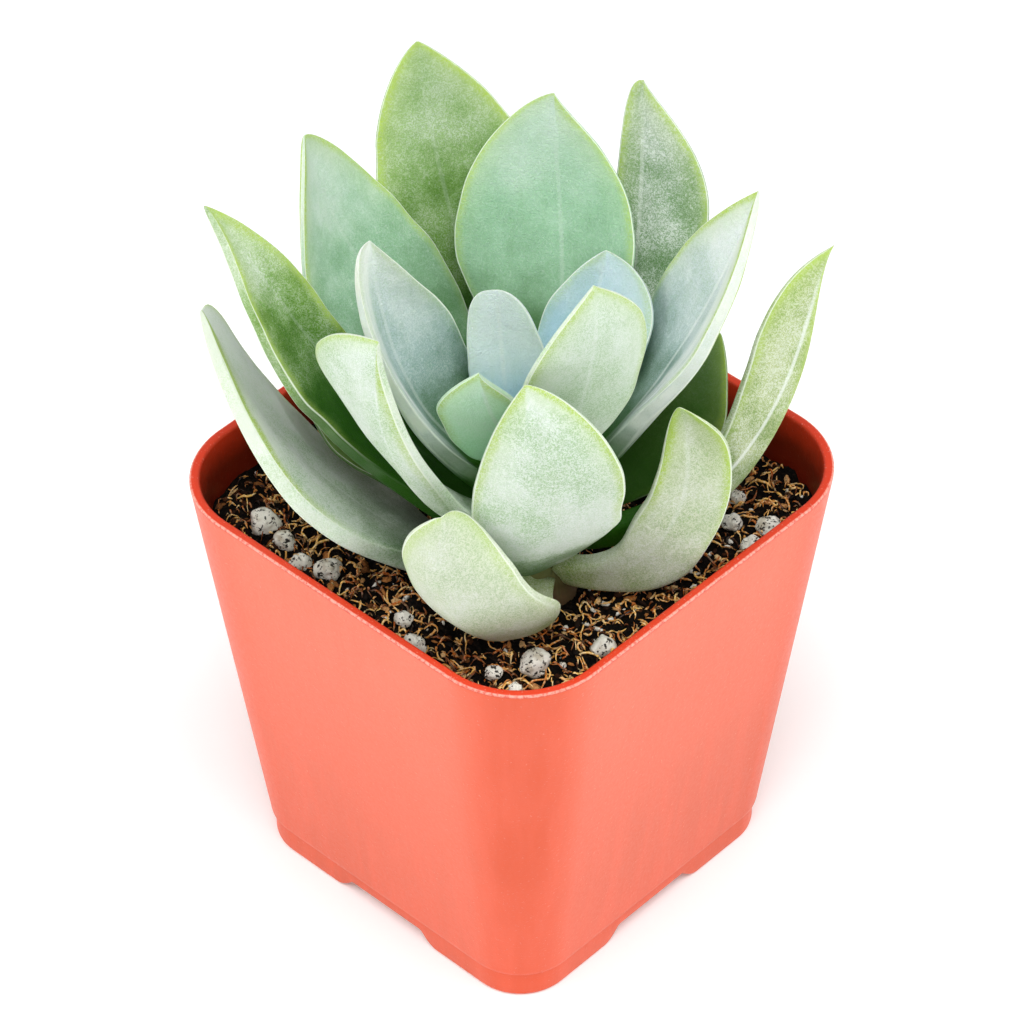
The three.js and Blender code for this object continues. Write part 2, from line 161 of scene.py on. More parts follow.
def tube_faces(rings, around):
    """Faces of a closed tube: a quad between neighbours on neighbouring rings, and a fan of triangles
    from each end ring to a point. The points are the rings in order, then the first and last end."""
    ring = np.arange(rings - 1)[:, None] * around
    here = np.arange(around)[None, :]
    after = (here + 1) % around
    quads = np.stack(np.broadcast_arrays(ring + here, ring + after, ring + around + after,
                                         ring + around + here), -1).reshape(-1, 4)
    first, last = rings * around, rings * around + 1
    here, after = here[0], after[0]
    top = (rings - 1) * around
    start_fan = np.stack([np.full(around, first), after, here], -1)
    end_fan = np.stack([top + here, top + after, np.full(around, last)], -1)
    return [quads, start_fan, end_fan]


def tube_points(rings, start, end):
    """The rings as one list of points, with the two end points after them."""
    return np.vstack([rings.reshape(-1, 3), start, end])


def ball_directions(rings, sides):
    """Directions on rings from the lower to the upper pole, and the two poles."""
    polar = np.pi * (np.arange(rings) + 1) / (rings + 1)
    angle = full_turn(sides)
    way = np.stack(np.broadcast_arrays(np.sin(polar)[:, None] * np.cos(angle),
                                       np.sin(polar)[:, None] * np.sin(angle),
                                       -np.cos(polar)[:, None] + 0 * angle), -1)
    return tube_points(way, [0, 0, -1.0], [0, 0, 1.0])


def many_tubes(blocks, rings, around, tint):
    """Many small closed tubes as one mesh: all their points, all their faces, and a tint for each."""
    shift = (np.arange(len(blocks)) * blocks.shape[1])[:, None, None]
    faces = [(part[None] + shift).reshape(-1, part.shape[1]) for part in tube_faces(rings, around)]
    return blocks.reshape(-1, 3), faces, {"tint": np.repeat(tint, blocks.shape[1])}


def closed_tube(rings, start, end, measures):
    """The points, faces and measures of one closed tube of rings."""
    return tube_points(rings, start, end), tube_faces(*rings.shape[:2]), measures


def new_piece(name, points, faces, measures, slot_name, finish):
    """One mesh object from points in millimetres and blocks of faces, with a number per point for each
    measure. It rides on the body and has a finish. The slot name is not used."""
    mesh = bpy.data.meshes.new(name)
    mesh.vertices.add(len(points))
    mesh.vertices.foreach_set("co", (np.asarray(points) * MM).astype(np.float32).ravel())
    corners = np.concatenate([block.ravel() for block in faces])
    sizes = np.concatenate([np.full(len(block), block.shape[1]) for block in faces])
    mesh.loops.add(len(corners))
    mesh.loops.foreach_set("vertex_index", corners.astype(np.int32))
    mesh.polygons.add(len(sizes))
    starts = np.concatenate([[0], np.cumsum(sizes)[:-1]])
    mesh.polygons.foreach_set("loop_start", starts.astype(np.int32))
    mesh.polygons.foreach_set("use_smooth", np.ones(len(sizes), bool))
    for key, values in measures.items():
        attribute = mesh.attributes.new(key, "FLOAT", "POINT")
        attribute.data.foreach_set("value", np.asarray(values, np.float32).ravel())
    mesh.update(calc_edges=True)
    mesh.validate()
    mesh.materials.append(finish)
    piece = bpy.data.objects.new(name, mesh)
    bpy.context.scene.collection.objects.link(piece)
    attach(piece, "root")
    print(name, len(points), "points", int((sizes - 2).sum()), "triangles")
    return piece


# %% [markdown]
# ## Random fields
#
# Soil, stone and leaves are never quite even. Blender's textures can bend a surface, but only through a
# modifier. A small table of random numbers, read with smooth steps between its cells, does the same in
# plain arrays, and a fixed seed makes each run the same.

# %% A patchy random field
FIELD_CELLS = 64


def patchy(x, y, size, seed):
    """A smooth random field from -1 to 1 over the plane, with patches of the given size: the four
    nearest numbers of a repeating random table, blended with smooth weights."""
    table = np.random.default_rng(seed).uniform(-1, 1, (FIELD_CELLS, FIELD_CELLS))
    across, up = np.asarray(x) / size, np.asarray(y) / size
    column, row = np.floor(across).astype(int), np.floor(up).astype(int)
    right, above = across - column, up - row
    right, above = right * right * (3 - 2 * right), above * above * (3 - 2 * above)
    read = lambda c, r: table[c % FIELD_CELLS, r % FIELD_CELLS]
    low = read(column, row) * (1 - right) + read(column + 1, row) * right
    high = read(column, row + 1) * (1 - right) + read(column + 1, row + 1) * right
    return low * (1 - above) + high * above


def mix(a, b, k):
    """The value a share k of the way from a to b."""
    return a + (b - a) * k


def smooth_step(low, high, value):
    """0 below low, 1 above high, and an S-shaped rise between them."""
    k = np.clip((value - low) / (high - low), 0, 1)
    return k * k * (3 - 2 * k)


# %% [markdown]
# ## Finishes
#
# A finish is a web of small nodes. Wiring them by hand in code is long, so a small workshop class adds
# one node at a time and hands back its output. Every pattern reads the object's own coordinates or a
# measure kept on its surface, so it stays on the piece whichever way one looks at it.

# %% Helpers that make finishes
def tone(red, green, blue):
    """A colour as the eye reads it on a screen, 0 to 255, as the linear values that a shader takes."""
    seen = np.array([red, green, blue]) / 255
    linear = np.where(seen <= 0.04045, seen / 12.92, ((seen + 0.055) / 1.055) ** 2.4)
    return (*[float(v) for v in linear], 1.0)


class Finish:
    """A material that is being wired. Each method adds one node and returns its output."""

    def __init__(self, name):
        self.material = bpy.data.materials.new(name)
        self.material.use_nodes = True
        self.tree = self.material.node_tree
        self.shader = self.tree.nodes["Principled BSDF"]
        self.place = self.node("TexCoord", "Object", {})

    def plug(self, socket, value):
        """Links the socket where the value is another node's output, or else sets it."""
        if isinstance(value, bpy.types.NodeSocket):
            self.tree.links.new(value, socket)
        else:
            socket.default_value = value

    def node(self, kind, output, inputs, **settings):
        """Adds a node, makes its settings, plugs in its inputs and returns one of its outputs."""
        node = self.tree.nodes.new("ShaderNode" + kind)
        for name, value in settings.items():
            setattr(node, name, value)
        for name, value in inputs.items():
            self.plug(node.inputs[name], value)
        return node.outputs[output]

    def measure(self, name):
        """A number that the mesh keeps at its points."""
        return self.node("Attribute", "Fac", {}, attribute_name=name)

    def vector(self, x, y, z):
        """Three numbers as a place."""
        return self.node("CombineXYZ", "Vector", {"X": x, "Y": y, "Z": z})

    def part(self, axis):
        """One coordinate of the place on the object."""
        return self.node("SeparateXYZ", axis, {"Vector": self.place})

    def noise(self, size, detail=2.0, rough=0.5, twist=0.0, place=None, unit=MM):
        """A random field from 0 to 1 with patches of a size in millimetres."""
        return self.node("TexNoise", "Fac", {
            "Vector": self.place if place is None else place, "Scale": 1 / (size * unit),
            "Detail": detail, "Roughness": rough, "Distortion": twist})

    def cells(self, size):
        """The distance to the nearest of scattered points that lie a size in millimetres apart."""
        return self.node("TexVoronoi", "Distance", {"Vector": self.place, "Scale": 1 / (size * MM)})

    def span(self, value, low, high, start=0.0, end=1.0):
        """A smooth rise from start to end as the value goes from low to high."""
        return self.node("MapRange", "Result", {
            "Value": value, "From Min": low, "From Max": high, "To Min": start, "To Max": end,
        }, interpolation_type="SMOOTHSTEP")

    def maths(self, kind, a, b=0.0):
        """One step of arithmetic, by its kind in Blender's Math node."""
        return self.node("Math", 0, {0: a, 1: b}, operation=kind)

    def times(self, a, b):
        """One value times another."""
        return self.maths("MULTIPLY", a, b)

    def plus(self, a, b):
        """One value plus another."""
        return self.maths("ADD", a, b)

    def blend(self, share, a, b, kind="MIX"):
        """Colour b over colour a, by a share from 0 to 1."""
        return self.node("Mix", 2, {"Factor": share, 6: a, 7: b}, data_type="RGBA", blend_type=kind)

    def lay(self, colour, tone, share, where=None):
        """A tone laid over a colour, by a share and, where that is given, by a second one as well."""
        return self.blend(share if where is None else self.times(share, where), colour, tone)

    def stops(self, value, *colours):
        """A run of colours along a value: pairs of a place from 0 to 1 and a colour."""
        node = self.tree.nodes.new("ShaderNodeValToRGB")
        ramp = node.color_ramp
        while len(ramp.elements) < len(colours):
            ramp.elements.new(1.0)
        for element, (place, colour) in zip(ramp.elements, colours):
            element.position = place
            element.color = colour
        self.plug(node.inputs["Fac"], value)
        return node.outputs["Color"]

    def bump(self, height, depth, under=None):
        """A relief of a height field, its depth in millimetres, over any relief made before."""
        over = {} if under is None else {"Normal": under}
        return self.node("Bump", "Normal", {"Height": height, "Distance": depth * MM, **over})

    def done(self, colour, rough, relief, **sockets):
        """Wires the shader and returns the material."""
        wired = {"Base Color": colour, "Roughness": rough, "Normal": relief}
        wired |= {name.replace("_", " "): value for name, value in sockets.items()}
        for name, value in wired.items():
            self.plug(self.shader.inputs[name], value)
        return self.material


# %% [markdown]
# The floor is the one thing that isn't part of the object: a wide white sheet with a faint grain. It
# reaches past everything that the camera can see. A very faint glow, with less red in it, keeps it white
# where the pot throws its own red back.

# %% Lay the floor
FLOOR_HALF = 3000
FLOOR_CELLS = 24
FLOOR_GLOW = (0.7, 1, 1, 1)
FLOOR_GLOW_STRENGTH = 0.1


def floor_sheet():
    """A flat square grid at the height on which the pot stands."""
    line = np.linspace(-FLOOR_HALF, FLOOR_HALF, FLOOR_CELLS)
    x, y = np.meshgrid(line, line, indexing="ij")
    points = np.stack([x, y, 0 * x], -1).reshape(-1, 3)
    cell = np.arange(FLOOR_CELLS - 1)
    corner = (cell[:, None] * FLOOR_CELLS + cell[None, :]).reshape(-1, 1)
    return points, corner + np.array([0, FLOOR_CELLS, FLOOR_CELLS + 1, 1])


floor_points, floor_faces = floor_sheet()
floor_mesh = bpy.data.meshes.new("studio_floor")
floor_mesh.from_pydata((floor_points * MM).tolist(), [], floor_faces.tolist())
floor = bpy.data.objects.new("studio_floor", floor_mesh)
bpy.context.scene.collection.objects.link(floor)

paper = Finish("white_paper")
paper_grain = paper.noise(1.5, detail=3)
floor_mesh.materials.append(paper.done(
    paper.blend(paper_grain, (0.96, 0.96, 0.96, 1), (0.98, 0.98, 0.98, 1)), 0.9,
    paper.bump(paper_grain, 0.02), Emission_Color=FLOOR_GLOW, Emission_Strength=FLOOR_GLOW_STRENGTH))
print("floor", 2 * FLOOR_HALF * MM, "m wide")

# %% [markdown]
# ## The pot
#
# The real pot is injection-moulded: a thin wall with a little draft, a plain lip, a small step near its
# foot, and an underside that stands on its four corners. It could be a box with bevels, but its corners
# grow rounder towards the rim. So it is one closed surface: a square outline with round corners, carried
# up the outside, over the lip and down the inside. The gaps between the feet are the same outline, raised
# near the middle of each side.

# %% Values of the pot
POT_HEIGHT = 62
RIM_HALF, RIM_CORNER = 31.75, 12.4
FOOT_HALF, FOOT_CORNER = 24.2, 7.2
STEP_HEIGHT, STEP_IN = 4.5, 0.6
WALL = 1.3
FLOOR_TOP = 4.3
SKIRT_HEIGHT = 1.8
FOOT_GAP_TOP_HALF, FOOT_GAP_BASE_HALF = 6.2, 8.8
FOOT_RIDGE = 2.2
CORNER_POINTS = 26
SIDE_POINTS = 70


def outline_parts(corner_points, side_points):
    """For each point of a round-cornered square: where it is on the square of the corners' centres, from
    -1 to 1 each way, and the direction in which the corner's radius is added."""
    spot, way = [], []
    for quarter in range(4):
        angle = (quarter + np.arange(corner_points) / corner_points) * np.pi / 2
        middle = (quarter + 0.5) * np.pi / 2
        centre, after = np.sign(pointing(middle)), np.sign(pointing(middle + np.pi / 2))
        end = (quarter + 1) * np.pi / 2
        share = np.arange(side_points)[:, None] / side_points
        spot += [np.repeat(centre[None], corner_points, 0), centre + (after - centre) * share]
        way += [pointing(angle), np.repeat(pointing(end)[None], side_points, 0)]
    return np.vstack(spot), np.vstack(way)


SPOT, WAY = outline_parts(CORNER_POINTS, SIDE_POINTS)


def wall_at(z):
    """Half the side and the corner radius of the pot's outer wall at a height, by even draft."""
    k = (z - STEP_HEIGHT) / (POT_HEIGHT - STEP_HEIGHT)
    return mix(FOOT_HALF + STEP_IN, RIM_HALF, k), mix(FOOT_CORNER + STEP_IN, RIM_CORNER, k)


def square_ring(half, corner, z):
    """One ring of points: corner centres pushed out by the corner radius, at a height."""
    flat = (half - corner) * SPOT + corner * WAY
    return np.column_stack([flat, np.broadcast_to(z, len(flat))])


def wall_ring(z, inside):
    """A ring inside the pot's outer wall by a distance."""
    half, corner = wall_at(z)
    return square_ring(half - inside, corner - inside, z)


def foot_gap_height():
    """How high the skirt's lower edge is along the outline: 0 under the corners, and the skirt's height
    between the feet, with a slanted side that starts round at the bottom."""
    along = np.abs(SPOT * (FOOT_HALF - FOOT_CORNER)).min(1)
    on_side = np.isclose(np.abs(WAY).max(1), 1)
    raised = np.clip((FOOT_GAP_BASE_HALF - along) / (FOOT_GAP_BASE_HALF - FOOT_GAP_TOP_HALF), 0, 1)
    return np.where(on_side, SKIRT_HEIGHT * raised ** 1.7, 0)


# %% Make the pot
EDGE_STEPS = 5
LIP_ROUND = 0.34
FOOT_ROUND = 0.55
STEP_ROUND = 0.18
WALL_RINGS = 14
SOLE_HEIGHT = SKIRT_HEIGHT + 0.05
SKIRT_MIDDLE = 2.9
INNER_WALL_HEIGHTS = (58, 52, 30)
CORNER_SHADE_REACH = 9.5


def foot_ring(out, z):
    """A ring beyond the foot's outline by a distance."""
    return square_ring(FOOT_HALF + out, FOOT_CORNER + out, z)


def pot_rings():
    """The pot's rings from the middle of its underside, out and up the skirt and wall, over the lip and
    down the inside to the floor. Each rounded edge is a quarter turn."""
    angle = np.linspace(0, np.pi / 2, EDGE_STEPS)
    edge = list(zip(np.sin(angle), np.cos(angle)))
    gap = foot_gap_height()
    ledge = STEP_HEIGHT - STEP_IN
    lip = POT_HEIGHT - LIP_ROUND
    sole_half, sole_corner = FOOT_HALF - FOOT_RIDGE, FOOT_CORNER - FOOT_RIDGE
    rings = [square_ring(sole_half * share, sole_corner * share, SOLE_HEIGHT) for share in (0.5, 0.98, 1)]
    rings += [foot_ring(-FOOT_RIDGE, gap * 0.98 + rise) for rise in (0.1, 0.0)]
    rings.append(foot_ring(0.1 - FOOT_RIDGE, gap))
    rings += [foot_ring(FOOT_ROUND * (sine - 1), gap + FOOT_ROUND * (1 - cosine)) for sine, cosine in edge]
    rings += [foot_ring(0, z) for z in (SKIRT_MIDDLE, ledge, ledge + 0.25)]
    rings += [foot_ring(STEP_IN * (1 - cosine) * 0.5, ledge + 0.3 + STEP_ROUND * sine)
              for sine, cosine in edge]
    rings += [foot_ring(STEP_IN * (0.5 + 0.5 * sine), STEP_HEIGHT - STEP_ROUND * cosine * 0.5)
              for sine, cosine in edge]
    rings += [wall_ring(z, 0) for z in np.linspace(STEP_HEIGHT + 0.5, lip - 0.5, WALL_RINGS)]
    rings += [wall_ring(lip + LIP_ROUND * sine, LIP_ROUND * (1 - cosine)) for sine, cosine in edge]
    rings += [wall_ring(lip + LIP_ROUND * sine, WALL - LIP_ROUND * (1 - cosine))
              for sine, cosine in edge[::-1]]
    rings += [wall_ring(z, WALL) for z in (lip - 0.5, *INNER_WALL_HEIGHTS, FLOOR_TOP + WALL)]
    rings += [wall_ring(FLOOR_TOP + 0.3, 1.3 * WALL), wall_ring(FLOOR_TOP, 2 * WALL)]
    return np.stack(rings)


def pot_measures(rings):
    """How near a corner's middle each point is, fading out into the flat walls, for the corners' painted
    shade; whether it is inside the pot; and whether it is on the lip's outer edge, for its painted highlight."""
    half = RIM_HALF - RIM_CORNER
    into_flat = half - np.abs(SPOT * half).min(1)
    into_corner = RIM_CORNER * (np.pi / 4 - np.arcsin(np.clip(np.abs(WAY).min(1), 0, 1)))
    corner_way = np.maximum(into_flat, 0) + np.maximum(into_corner, 0)
    ring = np.arange(len(rings))[:, None] + np.zeros(len(SPOT))
    lip_middle = int(np.argmax(rings[:, 0, 2] >= POT_HEIGHT - 1e-6))
    fields = {"corner": (np.exp(-(corner_way / CORNER_SHADE_REACH) ** 2) + 0 * ring, (0, 0)),
              "inside": (ring >= lip_middle + 3, (0, 1)),
              "rim_line": ((ring >= lip_middle - 3) & (ring < lip_middle), (0, 0))}
    return {key: np.append(values.ravel(), ends) for key, (values, ends) in fields.items()}


# %% [markdown]
# The plastic is a satin coral red. It isn't one flat colour: the moulding leaves a very fine orange-peel
# skin and faint vertical flow marks, and the lip is scuffed. Painted shade deepens it towards the foot,
# into the round corners and down the inside, and a painted highlight runs along the lip's outer edge. A
# flat colour with noise could pass from afar, but the lip is close to the eye here.

# %% Finish of the pot
CORAL = tone(244, 113, 82)
CORAL_CORNER_SHADE = tone(222, 76, 22)
CORAL_FOOT_SHADE = tone(208, 86, 50)
CORAL_CLOUD = tone(240, 102, 70)
CORAL_SCUFF = tone(255, 196, 178)
CORAL_LIP = tone(212, 58, 28)
INSIDE_SHADE = tone(100, 22, 2)
INSIDE_SHADE_TOP = 61.2
LIP_FROM = POT_HEIGHT - 0.3


def coral_plastic():
    """Coral, deeper with painted shade towards the foot and at the round corners, and in faint upright
    streaks and clouds. The lip is red with pale scuffs and a painted highlight on its outer edge, and
    painted shade darkens the inside."""
    work = Finish("coral_plastic")
    x, y, z = (work.part(axis) for axis in "XYZ")
    streaks = work.noise(2.2, detail=3, place=work.vector(x, y, work.times(z, 0.06)))
    clouds = work.noise(18, detail=2)
    specks = work.noise(0.35, detail=2)
    # Painted shade: the colour deepens evenly towards the foot, most on the skirt, and softly into the
    # corners
    foot_shade = work.span(z, STEP_HEIGHT * MM, POT_HEIGHT * MM, 0.8, 0.0)
    foot_shade = work.times(foot_shade, work.span(z, 0, STEP_HEIGHT * MM, 1.2, 1.0))
    wall = work.blend(foot_shade, CORAL, CORAL_FOOT_SHADE)
    # Painted shade: the round corners take less of the side lights, so they are laid darker and redder
    colour = work.blend(work.span(work.measure("corner"), 0.0, 1.0, 0, 0.85), wall, CORAL_CORNER_SHADE)
    colour = work.lay(colour, CORAL_CLOUD, work.span(streaks, 0.35, 0.75, 0, 0.3))
    colour = work.lay(colour, CORAL_CLOUD, work.span(clouds, 0.3, 0.7, 0, 0.3))
    colour = work.lay(colour, CORAL_SCUFF, work.span(specks, 0.70, 0.76, 0, 0.25))
    # The lip and the inside are redder, and on the inside that red is painted shade. The lip's top is worn
    # pale in specks, and a pale line along its outer edge is a painted highlight
    inside = work.measure("inside")
    on_lip = work.span(z, (LIP_FROM - 0.12) * MM, LIP_FROM * MM)
    colour = work.lay(colour, CORAL_LIP, work.maths("MAXIMUM", inside, on_lip))
    worn = work.times(on_lip, work.span(specks, 0.62, 0.72, 0, 0.2))
    colour = work.lay(colour, CORAL_SCUFF, worn)
    # Painted highlight: a pale, broken line on the lip's outer rounding
    rim_line = work.times(work.measure("rim_line"), work.span(specks, 0.3, 0.6, 0.15, 0.6))
    colour = work.lay(colour, CORAL_SCUFF, rim_line)
    # Painted shade: the inside is laid dark red, strongest low down and faint near the rim, along a ragged
    # line
    shade_edge_noise = work.noise(1.6, detail=4, rough=0.6)
    height = work.plus(z, work.times(shade_edge_noise, -2.0 * MM))
    inside_shade = work.span(height, (INSIDE_SHADE_TOP - 5.0) * MM, INSIDE_SHADE_TOP * MM, 0.95, 0.1)
    colour = work.lay(colour, INSIDE_SHADE, inside, inside_shade)
    peel = work.noise(0.5, detail=2)
    relief = work.bump(peel, 0.012)
    relief = work.bump(streaks, 0.03, relief)
    relief = work.bump(work.span(specks, 0.6, 0.74), 0.03, relief)
    rough = work.span(peel, 0.3, 0.7, 0.36, 0.44)
    return work.done(colour, rough, relief, Specular_IOR_Level=0.4)


rings = pot_rings()
tube = closed_tube(rings, [0, 0, SOLE_HEIGHT], [0, 0, FLOOR_TOP], pot_measures(rings))
pot = new_piece("pot_shell", *tube, "pot", coral_plastic())
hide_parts("pot")
pot.data.set_sharp_from_angle(angle=np.radians(50))

# %% [markdown]
# ## The potting mix
#
# Seen from above, the mix is what gives scale to the pot: black peat with gaps, curly golden coir, bark
# chips and white perlite. A noise texture alone looks like carpet. So the peat is a real surface with
# crumbs of four sizes, and thousands of fibres, chips and crumbs are laid on it.

# %% The peat surface
SOIL_LEVEL, SOIL_RELIEF, SOIL_DIP = 55.3, 0.45, 1.4
SOIL_BOTTOM = FLOOR_TOP + 0.3
SOIL_INSET = WALL + 0.12
STEM_FOOT = np.array([10.5, -6.5, 55.0])
STEM_TOP = np.array([6.0, -5.5, 77.0])
STEM_FOOT_RADIUS, STEM_TOP_RADIUS = 4.6, 2.6
STEM_BURIED = 8
STEM_HOLE = STEM_FOOT_RADIUS + 0.3
STEM_HOLE_BOTTOM = STEM_FOOT[2] - STEM_BURIED - 0.3
PEAT_RINGS = 170
# Size and height of each sort of crumb
CRUMB_SIZES = ((3.6, 0.55), (1.7, 0.5), (0.8, 0.28), (0.45, 0.16))
DIP_FROM, DIP_TO = 6, 15


def soil_waves(x, y):
    """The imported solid's surface: low waves that die away in a shallow dip around the stem."""
    wave = np.sin(0.9 * x + 0.5 * y) * np.cos(0.7 * y - 0.4 * x) + 0.5 * np.sin(1.9 * x - 1.3 * y)
    calm = smooth_step(DIP_FROM, DIP_TO, from_stem(x, y))
    return SOIL_LEVEL + SOIL_RELIEF * wave * calm - SOIL_DIP * (1 - calm)


def from_stem(x, y):
    """How far a place is from the middle of the stem's foot."""
    return np.hypot(x - STEM_FOOT[0], y - STEM_FOOT[1])


def wall_clearance(x, y):
    """How far a place is inside the pot's inner wall at the soil's level."""
    half, corner = wall_at(SOIL_LEVEL)
    beyond = np.abs(np.stack([x, y])) - (half - corner)
    outside = np.hypot(*np.maximum(beyond, 0)) + np.minimum(beyond.max(0), 0) - corner
    return -outside - WALL


def peat_height(x, y):
    """The peat: the solid's waves with crumbs of four sizes, each a random field whose hollows are
    sharper than its tops, and a sunken edge along the wall in places."""
    height = soil_waves(x, y)
    for number, (size, tall) in enumerate(CRUMB_SIZES):
        field = patchy(x, y, size, 11 + number)
        height = height + tall * (0.4 - np.abs(field) ** 0.8)
    edge = 1 - smooth_step(0.2, 3.0, wall_clearance(x, y))
    return height - edge * (0.5 + 0.9 * patchy(x, y, 6, 31))


def peat_rings():
    """Rings from the bottom up the wall, then inwards over the surface to the stem's hole, and down it."""
    edge = wall_ring(SOIL_LEVEL, SOIL_INSET)
    centre = STEM_FOOT[:2]
    angle = np.arctan2(*(edge[:, :2] - centre).T[::-1])
    hole = centre + STEM_HOLE * pointing(angle)
    share = np.linspace(0, 1, PEAT_RINGS)[:, None, None]
    flat = mix(edge[None, :, :2], hole[None], share)
    top = np.dstack([flat, peat_height(flat[..., 0], flat[..., 1])])
    hole_depth = np.column_stack([hole, np.full(len(hole), STEM_HOLE_BOTTOM)])
    below = [wall_ring(SOIL_BOTTOM, SOIL_INSET + WALL), wall_ring(SOIL_BOTTOM + WALL, SOIL_INSET),
             wall_ring(30, SOIL_INSET)]
    return np.concatenate([np.stack(below), top, hole_depth[None]])


def peat_finish():
    """Near black in the hollows and brown on the crumbs, with darker patches."""
    work = Finish("damp_peat")
    grain = work.noise(0.5, detail=5, rough=0.7)
    patches = work.noise(3.0, detail=3)
    colour = work.stops(grain, (0.3, tone(3, 2, 2)), (0.54, tone(9, 6, 4)), (0.66, tone(34, 20, 10)),
                        (0.8, tone(110, 68, 32)))
    colour = work.lay(colour, tone(9, 6, 4), work.span(patches, 0.45, 0.7, 0, 0.6))
    relief = work.bump(work.noise(0.25, detail=4, rough=0.7), 0.12)
    relief = work.bump(work.cells(0.5), 0.12, relief)
    return work.done(colour, work.span(grain, 0.3, 0.7, 0.95, 0.7), relief, Specular_IOR_Level=0.1)


tube = closed_tube(peat_rings(), [0, 0, SOIL_BOTTOM], [*STEM_FOOT[:2], STEM_HOLE_BOTTOM], {})
peat = new_piece("peat_bed", *tube, "soil", peat_finish())
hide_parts("potting_soil")

# %% [markdown]
# Coir is the curly golden fibre from coconut husk. Real fibres could be particles or hair, but those are
# lost on export. Each fibre here is a thin four-sided tube with a few joints. Its heading wanders at a
# steady random rate, so that some curl up and some run straight, and it rises and dips over the peat.

# %% Lay the coir fibres
FIBRE_POINTS = 9
FIBRE_SIDES = 4
FIBRE_FIELD, CHIP_FIELD = 29, 29.5
FIBRE_JITTER = 0.35
FIBRE_WALL_GAP = 0.25
STEM_CLEAR = 5.6


def lay_fibres(count, seed, long, thin, curl, lift):
    """Fibres as tubes: the heading changes by a steady random curl and a little jitter, the places are
    the summed steps, and the height is the peat's plus an arc. Those that leave the pot are dropped."""
    rng = np.random.default_rng(seed)
    tries = 2 * count
    length = rng.uniform(*long, tries)[:, None]
    step = length / (FIBRE_POINTS - 1)
    heading = rng.uniform(0, 2 * np.pi, tries)[:, None]
    rate = rng.normal(0, curl, tries)[:, None]
    jitter = rng.normal(0, FIBRE_JITTER, (tries, FIBRE_POINTS)).cumsum(1) * 0.5
    heading = heading + rate * step * np.arange(FIBRE_POINTS) + jitter
    x, y = (rng.uniform(-FIBRE_FIELD, FIBRE_FIELD, tries)[:, None] + (step * way(heading)).cumsum(1)
            for way in (np.cos, np.sin))
    clear = (wall_clearance(x, y).min(1) > FIBRE_WALL_GAP) & (from_stem(x, y).min(1) > STEM_CLEAR)
    x, y, heading = x[clear][:count], y[clear][:count], heading[clear][:count]
    kept = len(x)
    share = np.linspace(0, 1, FIBRE_POINTS)
    arc = rng.uniform(*lift, kept)[:, None] * np.sin(np.pi * share + rng.uniform(-0.7, 0.7, kept)[:, None])
    radius = rng.uniform(*thin, kept)[:, None] * (1 - 0.7 * np.abs(2 * share - 1) ** 3)
    z = peat_height(x, y) + arc + 0.05
    angle = full_turn(FIBRE_SIDES, 0.5)
    side = np.stack([-np.sin(heading), np.cos(heading), 0 * heading], -1)[:, :, None, :]
    up = np.array([0, 0, 1.0])
    round_way = side * np.cos(angle)[:, None] + up * np.sin(angle)[:, None]
    middle = np.stack([x, y, z], -1)
    tubes = middle[:, :, None, :] + round_way * radius[..., None, None]
    points = np.concatenate([tubes.reshape(kept, -1, 3), middle[:, :1], middle[:, -1:]], 1)
    return many_tubes(points, FIBRE_POINTS, FIBRE_SIDES, rng.uniform(0, 1, kept))


def fibre_finish(name, dark, light):
    """Golden brown, from dark to pale fibres, darker in patches where they are damp, waxy, with painted
    glints.
    """
    work = Finish(name)
    damp = work.noise(1.2, detail=3)
    middle_tone = tuple(np.array(dark) * 0.5 + np.array(light) * 0.5)
    colour = work.stops(work.measure("tint"), (0.0, tone(26, 14, 7)), (0.3, dark), (0.6, middle_tone),
                        (1.0, light))
    colour = work.lay(colour, tone(24, 12, 5), work.span(damp, 0.54, 0.62, 0, 0.8))
    # Painted highlight: cream glints laid into the colour, mostly on the pale fibres
    painted_glint = work.span(work.noise(0.3, detail=2), 0.5, 0.57, 0, 0.95)
    colour = work.lay(colour, tone(255, 226, 170), painted_glint, work.measure("tint"))
    return work.done(colour, work.span(damp, 0.4, 0.7, 0.2, 0.45), work.bump(work.noise(0.12), 0.03))


new_piece("coir_fibres", *lay_fibres(1500, 3, (0.9, 3.8), (0.08, 0.18), 0.8, (0.1, 0.8)), "soil",
          fibre_finish("coir", tone(192, 96, 20), tone(255, 204, 108)))
new_piece("fine_rootlets", *lay_fibres(2300, 4, (0.4, 1.7), (0.07, 0.17), 1.4, (0.05, 0.5)), "soil",
          fibre_finish("rootlets", tone(184, 92, 24), tone(255, 196, 104)))

# %% [markdown]
# Between the fibres lie chips of bark and crumbs of broken perlite. Each is a small closed stone-like
# shape with a few dozen faces: an egg with lumps. Thousands of copies of one shape would show, so every
# chip has its own stretch, turn and lumps, all drawn from one seeded source.

# %% Scatter chips and crumbs
CHIP_RINGS = 3
CHIP_SIDES = 6


